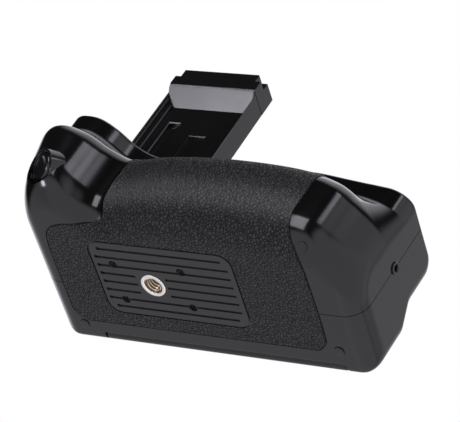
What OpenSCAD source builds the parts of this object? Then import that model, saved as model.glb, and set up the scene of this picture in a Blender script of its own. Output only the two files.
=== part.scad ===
// Battery grip for a digital camera: it bolts under the camera, feeds it through a battery-shaped post,
// and holds two battery packs behind a rear door. Millimetres. Z is up into the camera, -Y is the lens side,
// +X is the jack end, and the origin is the mouth of the tripod bush on the base.

/* [Housing] */
// Length of the housing, grip end to jack end
body_length = 133; // [130:0.5:138]
// Height of the rim that meets the camera
body_height = 50; // [49.5:0.5:52]
// Lens-side reach of the rubber-covered swell, from the bush
swell_reach = 34.8; // [34:0.2:37]
// Lens-side reach of the lobe that carries the shutter button
lobe_reach = 46; // [44:0.5:49]
// Reach of the rear wall behind the bush
rear_reach = 31.8; // [31.4:0.2:32.6]

/* [Rubber cover] */
// How far the rubber stands proud of the shells
rubber_proud = 0.4; // [0.3:0.05:0.6]
// How deep the rubber is let into the shells
rubber_inlay = 1.2; // [0.8:0.1:1.6]

/* [Tripod plate] */
// Length of the grooved plate
plate_length = 59; // [56:0.5:62]
// Width of the grooved plate
plate_width = 33.4; // [32.6:0.2:35]
// Number of grooves
groove_count = 8; // [6:1:8]
// Width of a groove
groove_width = 1; // [0.6:0.1:1.4]
// Outer diameter of the tripod bush
bush_diameter = 10.2; // [9.6:0.1:11]
// Hole of the tripod bush, for a quarter-inch screw
bush_hole = 6.35; // [6.3:0.05:6.4]

/* [Post] */
// Width of the battery-shaped post
post_width = 38.2; // [37:0.2:39]
// Thickness of the post
post_depth = 12; // [11.6:0.1:12.6]
// How far the post stands above the rim
post_rise = 55.6; // [52:0.4:58]

/* [Battery bays] */
// Width of one battery pack
battery_width = 38; // [36:0.2:38.4]
// Thickness of one battery pack
battery_thickness = 14; // [13:0.2:14.2]

/* [Door] */
// Length of the door along the housing
door_length = 100; // [96:1:102]
// Thickness of the door panel
door_thickness = 2.2; // [1.8:0.1:2.4]

/* [Mounting wheel] */
// Diameter of the knurled wheel that drives the mounting screw
wheel_diameter = 40.6; // [40:0.1:41.2]
// Number of ribs on the wheel
wheel_ribs = 60; // [40:4:72]
// Diameter of the mounting screw
screw_diameter = 6.2; // [6.1:0.05:6.3]
// How far the mounting screw stands above the rim
screw_rise = 5.5; // [4.5:0.1:6.5]

/* [Shutter button] */
// Diameter of the shutter button
button_diameter = 11; // [10:0.2:11.6]
// Travel of the shutter button
button_travel = 1; // [0.8:0.1:1.2]

/* [Hidden] */
$fn = 48;

// Places along the housing
drawn_length = 133;
drawn_left = -50;
stretch = body_length / drawn_length;
x_left = drawn_left * stretch;
x_right = x_left + body_length;
draft = 0.0005;
draft_level = 9;

// Heights and depths of the section
shell_base = rubber_proud;
part_y = 4;
slope_low = 22;
slope_high = 31;
slope_depth = 6.5;
upper_rear = rear_reach - slope_depth;
collar_foot = 40.5;
base_round = 8;
side_round = 6;
jack_end_round = 8.5;
lobe_round = 6.5;
foot_round = 20;
rim_round = 1.5;
crest_round = 9;
valley_round = 4;
rear_rim_round = 5;
slope_top_round = 6;
slope_foot_round = 4;
rear_base_round = 2.6;
drawn_swell = 34.8;
drawn_lobe = 46;
// Where the lobe passes into the swell, and over what length
lobe_end = -26;
lobe_blend = 12;
// Round between base and front: under the swell, how much more under the lobe, where that starts, over what length
low_round_swell = 12;
low_round_more = 5;
low_round_start = -28;
low_round_run = 18;
// Flats in each round of the section
low_steps = 8;
crest_steps = 6;
valley_steps = 4;
rim_steps = 2;
rear_rim_steps = 4;
slope_steps = 2;
rear_base_steps = 3;
// How far a cutter runs out past a flat face, a curved skin, and the lobe
over = 1;
skin_over = 3;
lobe_over = 20;

// Stations along X: place, front reach, height of the crest corner, reach of the collar under the camera
stations = [
  [-50, 44, 30, 34.5],
  [-43, 46, 31, 35.5],
  [-37, 45.5, 31, 34.5],
  [-31.5, 42.8, 31.5, 30],
  [-26, 36.6, 33, 23],
  [-20, 31, 35, 18.8],
  [-14, 29.8, 36, 17.9],
  [-4, 32.2, 36, 18.2],
  [12, 34, 36, 18.5],
  [30, 34.3, 36, 18.5],
  [48, 33.2, 35.8, 17.8],
  [60, 31, 34.8, 16],
  [68, 28, 32.8, 14.8],
  [75, 23.6, 29.6, 13.8],
  [83, 19, 26, 12.8]
];
last_station = len(stations) - 1;

// Smooth run through one column of the stations
function slope_at(k, c) =
  let (a = max(k - 1, 0), b = min(k + 1, last_station))
  (stations[b][c] - stations[a][c]) / (stations[b][0] - stations[a][0]);
function between(k, c, x) =
  let (
    p = stations[k],
    q = stations[k + 1],
    w = q[0] - p[0],
    t = (x - p[0]) / w,
    u = 1 - t
  )
  (1 + 2 * t) * u * u * p[c] + t * u * u * w * slope_at(k, c)
  + t * t * (3 - 2 * t) * q[c] - t * t * u * w * slope_at(k + 1, c);
function station(x, c) =
  let (
    d = min(max(x / stretch, stations[0][0]), stations[last_station][0]),
    k = max([for (i = [0:last_station - 1]) if (d >= stations[i][0]) i])
  )
  between(k, c, d);

// How far a wall is drawn in near the ends, for a round of radius p at the grip end and q at the jack end
function drawn_in(x, p, q) =
  let (
    left = x - x_left < x_right - x,
    r = left ? p : q,
    d = left ? x - x_left : x_right - x
  )
  d >= r ? 0 : r - sqrt(max(r * r - (r - d) * (r - d), 0));

function swell_share(x) = min(max((x / stretch - lobe_end) / lobe_blend, 0), 1);
function reach_scale(x) =
  swell_share(x) * swell_reach / drawn_swell + (1 - swell_share(x)) * lobe_reach / drawn_lobe;
function base_at(x) = shell_base + drawn_in(x, base_round, base_round);
function foot_at(x) = station(x, 1) * reach_scale(x) - drawn_in(x, foot_round, jack_end_round);
function crest_at(x) = station(x, 1) * reach_scale(x) - drawn_in(x, lobe_round, jack_end_round);
function low_round(x) =
  low_round_swell + low_round_more * min(max((low_round_start - x / stretch) / low_round_run, 0), 1);
function collar_at(x) = station(x, 3) - drawn_in(x, side_round, side_round);
function top_at(x) = body_height - drawn_in(x, rim_round, rim_round);

// Corner b between a and c rounded with radius r: points and outward normals, for a clockwise run
function unit(v) = v / norm(v);
function half_turn(g) = g > 180 ? g - 360 : (g < -180 ? g + 360 : g);
function corner(a, b, c, r, n) =
  let (
    u = unit(a - b),
    w = unit(c - b),
    half = acos(u * w) / 2,
    mid = b + unit(u + w) * r / sin(half),
    start = b + u * r / tan(half) - mid,
    end = b + w * r / tan(half) - mid,
    g0 = atan2(start[1], start[0]),
    sweep = half_turn(atan2(end[1], end[0]) - g0),
    out = sweep < 0 ? 1 : -1
  )
  [for (k = [0:n]) let (g = g0 + sweep * k / n) [
    mid[0] + r * cos(g), mid[1] + r * sin(g), out * cos(g), out * sin(g)
  ]];

// Front half of the section at x, from the base to the rim
function front_path(x) =
  let (
    z0 = base_at(x),
    f = foot_at(x),
    h1 = crest_at(x),
    c = collar_at(x),
    z1 = station(x, 2),
    t = top_at(x),
    a = [part_y, z0],
    b = [-f, z0],
    d = [-h1, z1],
    e = [-c, collar_foot],
    g = [-c, t],
    h = [part_y, t]
  )
  concat(
    [[part_y, z0, 0, -1]],
    corner(a, b, d, low_round(x), low_steps),
    corner(b, d, e, crest_round, crest_steps),
    corner(d, e, g, valley_round, valley_steps),
    corner(e, g, h, rim_round, rim_steps),
    [[part_y, t, 0, 1]]
  );

// Rear half of the section at x, from the rim to the base
function rear_path(x) =
  let (
    z0 = base_at(x),
    t = top_at(x),
    d = drawn_in(x, side_round, side_round),
    a = [part_y, t],
    b = [upper_rear - d, t],
    c = [upper_rear - d, slope_high],
    e = [rear_reach - d, slope_low],
    f = [rear_reach - d, z0],
    g = [part_y, z0]
  )
  concat(
    [[part_y, t, 0, 1]],
    corner(a, b, c, rear_rim_round, rear_rim_steps),
    corner(b, c, e, slope_top_round, slope_steps),
    corner(c, e, f, slope_foot_round, slope_steps),
    corner(e, f, g, rear_base_round, rear_base_steps),
    [[part_y, z0, 0, -1]]
  );

// A section point placed in space, with the ends drafted outward towards the rim
function placed(x, p, out = 0) =
  let (y = p[0] + out * p[2], z = p[1] + out * p[3])
  [x * (1 + draft * (z - draft_level)), y, z];

// Solid skinned over rings of equal count, with a fan closing each end about its own middle point
module skin(rings, first_mid, last_mid) {
  n = len(rings[0]);
  m = len(rings) - 1;
  points = concat([for (r = rings) each r], [first_mid, last_mid]);
  faces = concat(
    [for (i = [0:m - 1], j = [0:n - 1]) let (k = (j + 1) % n) [i * n + j, i * n + k, (i + 1) * n + k]],
    [for (i = [0:m - 1], j = [0:n - 1]) let (k = (j + 1) % n) [i * n + j, (i + 1) * n + k, (i + 1) * n + j]],
    [for (j = [0:n - 1]) [(m + 1) * n, (j + 1) % n, j]],
    [for (j = [0:n - 1]) [(m + 1) * n + 1, m * n + j, m * n + (j + 1) % n]]
  );
  polyhedron(points, faces, convexity = 8);
}

end_steps = 10;
left_xs = [for (k = [0:end_steps]) x_left + foot_round * (1 - cos(90 * k / end_steps))];
right_xs = [for (k = [end_steps:-1:0]) x_right - jack_end_round * (1 - cos(90 * k / end_steps))];
lobe_xs = [for (x = [-28.6, -27, -25.4, -23.8, -22.2, -20.6, -19, -17, -14.5, -11]) x * stretch];
swell_xs = [for (x = [-7, -2, 4, 12, 21, 30, 39, 48, 54, 59, 63, 67, 71]) x * stretch];
front_xs = concat(left_xs, lobe_xs, swell_xs, right_xs);
rear_xs = concat(left_xs, right_xs);
cap_mid_front = -6;
cap_mid_rear = 10;
cap_mid_z = 28;

module half_body(xs, front) {
  rings = [for (x = xs) [for (p = front ? front_path(x) : rear_path(x)) placed(x, p)]];
  side = front ? cap_mid_front : cap_mid_rear;
  skin(rings, placed(xs[0], [side, cap_mid_z, 0, 0]), placed(xs[len(xs) - 1], [side, cap_mid_z, 0, 0]));
}

// Rubber cover: rows run from the rear edge of the base round the swell, columns run along X
cover_start = 21.9;
cover_fold = 49.2;
cover_columns = 22;
// Rows on the base: distance from the rear edge, left edge, right edge
cover_base_rows = [
  [0, -35.5, 61.4],
  [1.5, -38.6, 63.6],
  [5, -40.7, 65.9],
  [18, -40.8, 66.2],
  [34, -40.6, 66],
  [38.3, -40.1, 65.8],
  [42.1, -39.1, 65.2],
  [44, -37.8, 64.6],
  [45.4, -35.6, 64.1],
  [46.9, -30.7, 63.6],
  [47.5, -24.5, 63.3],
  [47.9, -18.4, 63.1],
  [cover_fold, -15.7, 62.5]
];
// Edges on the swell, over the share of the way from the fold to the collar
cover_left = [[0, -15.7], [0.034, -15.2], [0.073, -15.4], [0.18, -16.6], [0.4, -17.7], [1, -17.2]];
cover_right = [[0, 62.5], [0.14, 60.6], [0.3, 59.6], [0.6, 59.7], [1, 61]];
cover_swell_rows = 18;
cover_rows = len(cover_base_rows) + cover_swell_rows;
collar_points = valley_steps + rim_steps + 2;
cover_over = 2;

function cover_path(x) =
  let (p = front_path(x))
  concat([[cover_start, shell_base, 0, -1]], [for (k = [1:len(p) - collar_points - 1]) p[k]]);
function run_lengths(p, k = 0, done = 0) =
  k >= len(p) ? [] :
  let (step = k == 0 ? 0 : norm([p[k][0] - p[k - 1][0], p[k][1] - p[k - 1][1]]))
  concat([done + step], run_lengths(p, k + 1, done + step));
function on_run(p, lengths, s) =
  [for (c = [0:3]) lookup(s, [for (k = [0:len(p) - 1]) [lengths[k], p[k][c]]])];
function cover_row(j) =
  j < len(cover_base_rows) ? cover_base_rows[j] :
  let (g = (j - len(cover_base_rows) + 1) / cover_swell_rows)
  [g, lookup(g, cover_left), lookup(g, cover_right)];
function cover_point(j, i, out) =
  let (
    row = cover_row(j),
    x = (row[1] + (row[2] - row[1]) * i / (cover_columns - 1)) * stretch,
    p = cover_path(x),
    lengths = run_lengths(p),
    total = lengths[len(lengths) - 1],
    s = j < len(cover_base_rows) ? row[0] : cover_fold + row[0] * (total - cover_fold)
  )
  placed(x, on_run(p, lengths, s), out);

// Slab over the rubber's outline, between two offsets from the skin
module cover_slab(inner, outer) {
  m = cover_rows;
  n = cover_columns;
  half = m * n;
  points = concat(
    [for (j = [0:m - 1], i = [0:n - 1]) cover_point(j, i, outer)],
    [for (j = [0:m - 1], i = [0:n - 1]) cover_point(j, i, inner)]
  );
  quads = concat(
    [for (j = [0:m - 2], i = [0:n - 2]) [j * n + i, (j + 1) * n + i, (j + 1) * n + i + 1, j * n + i + 1]],
    [for (j = [0:m - 2], i = [0:n - 2]) [
      half + j * n + i, half + j * n + i + 1, half + (j + 1) * n + i + 1, half + (j + 1) * n + i
    ]],
    [for (i = [0:n - 2]) [i, i + 1, half + i + 1, half + i]],
    [for (i = [0:n - 2]) let (k = (m - 1) * n + i) [k + 1, k, half + k, half + k + 1]],
    [for (j = [0:m - 2]) [(j + 1) * n, j * n, half + j * n, half + (j + 1) * n]],
    [for (j = [0:m - 2]) let (k = j * n + n - 1) [k, k + n, half + k + n, half + k]]
  );
  polyhedron(points, [for (q = quads) each [[q[0], q[1], q[2]], [q[0], q[2], q[3]]]], convexity = 8);
}

// Tripod plate and bush
plate_x = 7;
plate_y = -1.7;
plate_corner = 5;
plate_thickness = 2.6;
groove_pitch = 3.9;
groove_depth = 0.6;
groove_inset = 2;
groove_step_in = 2;
groove_dot_r = 0.75;
groove_dot_depth = 1;
bush_land = 1.2;
bush_length = 6.2;
carrier_side = 14;
carrier_top = 6.4;
plate_screw_spots = [for (y = [-8.4, 8.4], x = [-14.2, 14.2]) [x, y]];
plate_screw_r = 1.7;
plate_head_top = 1.4;
plate_head_low = 0.2;
plate_shank_r = 0.9;
plate_shank_top = 5.6;

// Base screws in their round recesses: two on the flat base, and one on the round under the swell, beside the bays
case_screw_count = 3;
jack_end_spot = [69.8, 20.5];
grip_end_spot = [-37.6, 23.4];
round_screw_bay_gap = 4.9;
round_screw_cover_gap = 0.8;
round_screw_cover_row = 5;
round_screw_share = 0.4;
skin_step = 0.1;
case_recess_r = 1.9;
case_recess_depth = 3;
case_head_r = 1.7;
case_head_height = 0.9;
case_shank_r = 1;
case_shank_length = 7;

// Deck under the camera, and what stands on it
deck_thickness = 2.4;
deck_inset = 2;
deck_end_inset = 4;
deck_rear_inset = 6;
deck_steps = 24;
deck_floor = body_height - deck_thickness;
pad_height = 0.6;
pad_inset = 1;
pad_hole_r = 6;
pin_r = 1.5;
pin_root_r = 1.9;
pin_rise = 3;
pin_point = 0.5;

// Mounting wheel, its screw and the plate that carries them
cradle_shift = 3.5;
cradle_x = (x_left + x_right) / 2 + cradle_shift;
wheel_shift = 6;
wheel_proud = 1.5;
wheel_r = wheel_diameter / 2;
wheel_x = cradle_x + wheel_shift;
wheel_y = upper_rear + wheel_proud - wheel_r;
pin_spots = [[wheel_x + 25, wheel_y], [wheel_x - 18, wheel_y + 3.5]];
wheel_thickness = 4.4;
wheel_low = 40.4;
wheel_gap = 0.4;
wheel_rib_depth = 0.5;
screw_r = screw_diameter / 2;
shaft_step = 0.4;
shaft_r = screw_r + shaft_step;
screw_play = 0.07;
screw_foot_r = 5;
screw_foot_height = 1.2;
chassis_thickness = 1.4;
chassis_low = wheel_low - wheel_gap - chassis_thickness;
chassis_length = 48;
chassis_width = 38;
chassis_y = 2.5;
hub_r = 6;
thrust_gap = 0.05;

// Battery post
post_inset = 10.8;
post_left = x_left + post_inset;
post_right = post_left + post_width;
post_front = -14.9;
post_back = post_front + post_depth;
post_tip = body_height + post_rise;
cap_height = 9.6;
cap_low = post_tip - cap_height;
cap_notch = 2.4;
cap_notch_depth = 3.9;
cap_notch_height = 3.8;
cap_chamfer = 0.9;
rail_drop = 2.3;
rail_front = post_front + rail_drop;
rail_width = 3;
rail_slot = 1.4;
rail_slot_width = 1.8;
rail_slot_end = 1;
rail_lip = 1.2;
rail_slot_front = rail_front + rail_lip;
tray_depth = 7.4;
tray_floor = post_front + tray_depth;
ramp_drop = 5;
// Pockets in the floor of the tray: left side, width, distance of the top from the cap
tray_pockets = [[5.3, 4.6, 14], [17.8, 6.8, 21]];
tray_pocket_depth = 1.8;
tray_pocket_foot = 4;
contact_count = 4;
contact_pitch = 4.4;
contact_width = 2;
contact_length = 6;
contact_bar = 0.8;
contact_depth = 1.6;
contact_margin = 1.4;
blade_height = 3;
blade_thickness = 0.8;
blade_reach = 2.6;

// Battery bays, cradle and boards
bay_play = 0.6;
bay_width = battery_width + bay_play;
bay_rise = 0.8;
bay_height = battery_thickness + bay_rise;
cradle_wall = 1.6;
cradle_rib = 3;
cradle_low = 7;
cradle_front = -26.2;
cradle_back = 24.5;
cradle_width = 2 * bay_width + cradle_rib + 2 * cradle_wall;
cradle_height = bay_height + 2 * cradle_wall;
cradle_top = cradle_low + cradle_height;
cradle_right = cradle_x + cradle_width / 2;
cradle_play = 0.2;
board_stand = 2.6;
board_low = cradle_top + board_stand;
board_thickness = 1.6;
board_y = 2;
stand_r = 2.2;
stand_span = [26, 9];
board_margin = [4, 3];
board_length = 2 * (stand_span[0] + board_margin[0]);
board_width = 2 * (stand_span[1] + board_margin[1]);
stand_hole_r = 0.9;
// Blocks on the board: low corner, size, height
board_chips = [[-20, -6, 9, 9, 1.2], [-4, -8, 6, 5, 1.6], [8, 0, 12, 6, 3]];
// Hollows of the mouldings, low corner and high corner
upper_room = [[x_left + 10, -13, cradle_top], [x_right - 9, 17, chassis_low]];
lobe_room = [[x_left + 4, -27, 10], [x_left + 22, 17, 33]];

// Rear door on its hinge pin, and its latch
door_left = cradle_x - door_length / 2;
door_right = cradle_x + door_length / 2;
hinge_inset = 2.2;
hinge_y = rear_reach - hinge_inset;
hinge_z = 2.7;
barrel_r = 2.1;
barrel_gap = 0.3;
door_groove = 1.8;
hinge_pin_r = 0.8;
hinge_play = 0.05;
hinge_pin_past = 3;
door_gap = 0.3;
door_sunk = 0.1;
door_face = rear_reach - door_sunk;
door_back = door_face - door_thickness;
door_top = 27.4;
door_room_over = 8;
slope_run = slope_depth / (slope_high - slope_low);
slope_norm = sqrt(1 + slope_run * slope_run);
slope_out = [1, slope_run] / slope_norm;
slope_along = [-slope_run, 1] / slope_norm;
latch_inset = 10;
latch_x = door_right - latch_inset;
latch_length = 12;
latch_height = 5.4;
latch_z = 14;
latch_travel = 2.5;
latch_bed = 1.5;
latch_floor = door_face - latch_bed;
latch_play = 0.1;
latch_lift = 0.05;
latch_sunk = 0.2;
tongue_height = 3;
tongue_thickness = 0.7;
tongue_play = 0.2;
tongue_left = 4;
tongue_right = 3.8;
keeper_depth = 3.5;
latch_rib = 0.8;
latch_rib_pitch = 2.2;

// Lock switch on the rear, above the door
lock_inset = 14;
lock_x = x_left + lock_inset;
lock_z = 38;
lock_travel = 3;
lock_play = 0.2;
lock_lift = 0.05;
lock_wall = 1.1;
lock_plate = [7.6, 1.2, 4.6];
lock_knob = [5, 1.9, 3];
lock_room_front = 16.5;
lock_switch_size = [10, 4.4, 4.6];

// Remote jack on the parting line
jack_z = 27.4;
jack_out = 0.6;
jack_face = x_right + jack_out;
jack_ring_r = 2.4;
jack_bore_r = 1.27;
jack_body_half = 3.4;
jack_body_length = 11;
jack_ring_length = 2.4;
jack_depth = 11;

// Shutter button, set square to the corner of the lobe
button_spot = [-39.9, -43, 10.4];
button_axis = [-0.47, -0.66, -0.585];
button_r = button_diameter / 2;
button_play = 0.08;
bezel_wall = 1.3;
bezel_r = button_r + button_play + bezel_wall;
bezel_sink = 1.3;
bezel_depth = 6;
bezel_lip = 3;
flange_step = 0.7;
flange_r = button_r + flange_step;
flange_play = 0.2;
flange_room_r = flange_r + flange_play;
flange_height = 1;
flange_gap = 0.05;
button_proud = 0.7;
dish_r = 30;
dish_depth = 0.35;
switch_size = 6;
switch_bed = 3;
switch_rest = 0.25;
switch_rise = bezel_depth - bezel_lip - flange_gap - flange_height - button_travel - switch_rest;

shell_tone = [0.1, 0.1, 0.11];
satin_tone = [0.16, 0.16, 0.17];
rubber_tone = [0.2, 0.2, 0.21];
steel_tone = [0.72, 0.72, 0.74];
brass_tone = [0.8, 0.72, 0.5];
board_tone = [0.1, 0.35, 0.2];

// Rectangle with round corners, centred
module round_rect(w, h, r) {
  square([w - 2 * r, h], center = true);
  square([w, h - 2 * r], center = true);
  for (x = [-1, 1], y = [-1, 1])
    translate([x * (w / 2 - r), y * (h / 2 - r)]) circle(r);
}

// Rod along X between two places
module rod_x(x0, x1, y, z, r) {
  translate([x0, y, z]) rotate([0, 90, 0]) cylinder(r = r, h = x1 - x0);
}

// Prism along X with its outline in Y and Z
module prism_x(x0, x1, outline) {
  translate([x0, 0, 0]) rotate([90, 0, 90]) linear_extrude(x1 - x0) polygon(outline);
}

// Box between two corners
module block(a, b) {
  translate(a) cube(b - a);
}

// Frame of the shutter button: Z out of the lobe
module at_button() {
  turn = atan2(button_axis[1], button_axis[0]);
  lean = acos(button_axis[2] / norm(button_axis));
  translate([button_spot[0] * stretch, button_spot[1] * lobe_reach / drawn_lobe, button_spot[2]])
    rotate([0, lean, turn]) children();
}

// Point on the round under the swell, at a share of the way from the base to the front
function low_point(x, share) =
  let (p = front_path(x))
  placed(x, on_run([for (k = [0:low_steps]) p[k + 1]], [for (k = [0:low_steps]) k / low_steps], share));

// Place of a base screw on the skin, and its way into the housing
round_screw_x = max(
  cradle_right + round_screw_bay_gap,
  cover_base_rows[round_screw_cover_row][2] * stretch + round_screw_cover_gap
);
function base_spot(p) = [p[0] * stretch, p[1], shell_base];
function case_screw_place(k) =
  k == 0 ? base_spot(jack_end_spot) :
  k == 1 ? low_point(round_screw_x, round_screw_share) :
  base_spot(grip_end_spot);
function skin_way(x, share) =
  let (
    along = low_point(x + skin_step, share) - low_point(x - skin_step, share),
    up = low_point(x, share + skin_step) - low_point(x, share - skin_step)
  )
  unit(cross(up, along));

// Frame of a base screw: Z into the housing
module at_case_screw(k) {
  way = k == 1 ? skin_way(round_screw_x, round_screw_share) : [0, 0, 1];
  translate(case_screw_place(k)) rotate([0, acos(way[2]), atan2(way[1], way[0])]) children();
}

module deck_outline() {
  low = x_left + deck_end_inset;
  xs = [for (k = [0:deck_steps]) low + (body_length - 2 * deck_end_inset) * k / deck_steps];
  polygon(concat(
    [for (x = xs) [x, -(collar_at(x) - deck_inset)]],
    [[xs[deck_steps], upper_rear - deck_rear_inset], [xs[0], upper_rear - deck_rear_inset]]
  ));
}

module plate_outline() {
  translate([plate_x, plate_y]) round_rect(plate_length, plate_width, plate_corner);
}

// Block that carries the bush, seated on the plate in a square pocket of the shells
module carrier_block() {
  half = carrier_side / 2;
  block([-half, -half, plate_thickness], [half, half, carrier_top]);
}

// Body of the remote jack behind its ring
module jack_body() {
  front = jack_face - jack_ring_length;
  block(
    [front - jack_body_length, part_y - jack_body_half, jack_z - jack_body_half],
    [front, part_y + jack_body_half, jack_z + jack_body_half]
  );
}

// Everything that both shells are opened for
module shell_openings() {
  translate([0, 0, -over]) linear_extrude(plate_thickness + over) plate_outline();
  carrier_block();
  for (p = plate_screw_spots)
    translate([p[0], p[1], 0]) cylinder(r = plate_shank_r, h = plate_shank_top);
  for (k = [0:case_screw_count - 1]) at_case_screw(k) {
    translate([0, 0, -skin_over]) cylinder(r = case_recess_r, h = skin_over + case_recess_depth);
    cylinder(r = case_shank_r, h = case_recess_depth + case_shank_length);
  }
  block(
    [cradle_x - cradle_width / 2 - cradle_play, cradle_front - cradle_play, cradle_low],
    [cradle_right + cradle_play, rear_reach + over, cradle_top + cradle_play]
  );
  block(upper_room[0], upper_room[1]);
  block(lobe_room[0], lobe_room[1]);
  translate([wheel_x - chassis_length / 2, chassis_y - chassis_width / 2, chassis_low])
    cube([chassis_length, chassis_width, chassis_thickness + wheel_gap]);
  translate([wheel_x, wheel_y, wheel_low - wheel_gap])
    cylinder(r = wheel_r + wheel_gap, h = wheel_thickness + 2 * wheel_gap);
  translate([wheel_x, wheel_y, wheel_low]) cylinder(r = shaft_r + wheel_gap, h = body_height);
  translate([0, 0, deck_floor]) linear_extrude(deck_thickness + over) deck_outline();
  rod_x(jack_face - jack_ring_length, jack_face + skin_over, part_y, jack_z, jack_ring_r);
  jack_body();
}

module front_shell() {
  color(shell_tone) difference() {
    half_body(front_xs, true);
    cover_slab(-rubber_inlay, cover_over);
    shell_openings();
    at_bezel() {
      translate([0, 0, -bezel_depth]) cylinder(r = bezel_r, h = bezel_depth + lobe_over);
      switch_box(0);
    }
  }
}

// Room that the door needs in the rear wall, and its hinge
module door_room() {
  back = door_back - door_gap;
  room = door_thickness + door_gap;
  edge = door_top_edge(door_gap);
  prism_x(door_left - door_gap, door_right + door_gap, [
    [back, -over],
    [back, slope_low + (door_face - back - room * slope_norm) / slope_run],
    edge - room * slope_out,
    edge + door_room_over * slope_out,
    [edge[0] + door_room_over * slope_out[0], -over]
  ]);
  rod_x(door_left - door_gap, door_right + door_gap, hinge_y, hinge_z, barrel_r + barrel_gap);
  block([door_left - door_gap, hinge_y - door_groove, -over], [door_right + door_gap, hinge_y, hinge_z]);
}

module rear_shell() {
  room = [lock_plate[0] + lock_travel, lock_plate[2]];
  window = [lock_knob[0] + lock_travel, lock_knob[2]];
  mid = lock_x + lock_travel / 2;
  color(shell_tone) difference() {
    half_body(rear_xs, false);
    translate([0, 0, -over]) linear_extrude(over + shell_base + rubber_inlay) cover_rear_outline();
    shell_openings();
    door_room();
    rod_x(door_left - hinge_pin_past, door_right + hinge_pin_past, hinge_y, hinge_z, hinge_pin_r);
    block(
      [door_right, latch_floor - tongue_play, latch_z - tongue_height / 2 - tongue_play],
      [
        door_right + keeper_depth,
        latch_floor + latch_lift + tongue_thickness + tongue_play,
        latch_z + tongue_height / 2 + tongue_play
      ]
    );
    translate([mid, 0, lock_z]) {
      block(
        [-room[0] / 2 - lock_play, lock_room_front, -room[1] / 2 - lock_play],
        [room[0] / 2 + lock_play, upper_rear - lock_wall, room[1] / 2 + lock_play]
      );
      block(
        [-window[0] / 2 - lock_play, upper_rear - lock_wall - over, -window[1] / 2 - lock_play],
        [window[0] / 2 + lock_play, upper_rear + over, window[1] / 2 + lock_play]
      );
    }
  }
}

// Rear part of the rubber's outline on the flat base
module cover_rear_outline() {
  rows = [for (r = cover_base_rows) if (r[0] <= cover_start - part_y + over) r];
  shrink = stretch * (1 + draft * (shell_base + rubber_inlay - draft_level));
  polygon(concat(
    [for (r = rows) [r[1] * shrink, cover_start - r[0]]],
    [for (j = [len(rows) - 1:-1:0]) [rows[j][2] * shrink, cover_start - rows[j][0]]]
  ));
}

module rubber_cover() {
  color(rubber_tone) difference() {
    cover_slab(-rubber_inlay, rubber_proud);
    translate([0, 0, -over]) linear_extrude(plate_thickness + over) plate_outline();
  }
}

module tripod_plate() {
  left = plate_x - plate_length / 2;
  right = plate_x + plate_length / 2;
  keep = bush_diameter / 2 + bush_land;
  color(satin_tone) difference() {
    linear_extrude(plate_thickness) plate_outline();
    translate([0, 0, -over]) cylinder(r = bush_diameter / 2, h = plate_thickness + 2 * over);
    for (p = plate_screw_spots) translate([p[0], p[1], -over]) {
      cylinder(r = plate_shank_r, h = plate_thickness + 2 * over);
      cylinder(r = plate_screw_r, h = plate_head_top + over);
    }
    for (k = [0:groove_count - 1]) {
      y = plate_y + (k - (groove_count - 1) / 2) * groove_pitch;
      inset = groove_inset + (k == 0 || k == groove_count - 1 ? groove_step_in : 0);
      if (abs(y) > keep) groove(left + inset, right - inset, y);
      else {
        groove(left + inset, -keep, y);
        groove(keep, right - inset, y);
      }
      translate([left + inset, y, -over]) cylinder(r = groove_dot_r, h = over + groove_dot_depth);
    }
  }
}

// One straight groove in the underside of the plate
module groove(x0, x1, y) {
  block([x0, y - groove_width / 2, -over], [x1, y + groove_width / 2, groove_depth]);
}

module tripod_bush() {
  color(steel_tone) difference() {
    cylinder(r = bush_diameter / 2, h = bush_length);
    translate([0, 0, -over]) cylinder(r = bush_hole / 2, h = bush_length + 2 * over);
  }
}

module bush_carrier() {
  color(steel_tone) difference() {
    carrier_block();
    cylinder(r = bush_diameter / 2, h = carrier_top + over);
  }
}

module plate_screw(k) {
  p = plate_screw_spots[k];
  color(satin_tone) translate([p[0], p[1], plate_head_low]) {
    cylinder(r = plate_screw_r, h = plate_head_top - plate_head_low);
    cylinder(r = plate_shank_r, h = plate_shank_top - plate_head_low);
  }
}

module case_screw(k) {
  color(satin_tone) at_case_screw(k) translate([0, 0, case_recess_depth - case_head_height]) {
    cylinder(r = case_head_r, h = case_head_height);
    cylinder(r = case_shank_r, h = case_head_height + case_shank_length);
  }
}

module top_deck() {
  color(satin_tone) difference() {
    translate([0, 0, deck_floor]) linear_extrude(deck_thickness) deck_outline();
    translate([wheel_x, wheel_y, deck_floor - over])
      cylinder(r = shaft_r + screw_play, h = deck_thickness + 2 * over);
    for (p = pin_spots) translate([p[0], p[1], deck_floor - over])
      cylinder(r = pin_root_r, h = deck_thickness + 2 * over);
  }
}

module deck_pad() {
  color(rubber_tone) translate([0, 0, body_height]) linear_extrude(pad_height) difference() {
    offset(delta = -pad_inset) deck_outline();
    translate([post_left - pad_inset, post_front - pad_inset])
      square([post_width + 2 * pad_inset, post_depth + 2 * pad_inset]);
    translate([wheel_x, wheel_y]) circle(pad_hole_r);
    for (p = pin_spots) translate(p) circle(pin_root_r + pad_inset);
  }
}

module locating_pin(k) {
  p = pin_spots[k];
  color(steel_tone) translate([p[0], p[1], deck_floor]) {
    cylinder(r = pin_root_r, h = deck_thickness);
    cylinder(r = pin_r, h = deck_thickness + pin_rise - pin_point);
    translate([0, 0, deck_thickness + pin_rise - pin_point])
      cylinder(r1 = pin_r, r2 = pin_r - pin_point, h = pin_point);
  }
}

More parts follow.
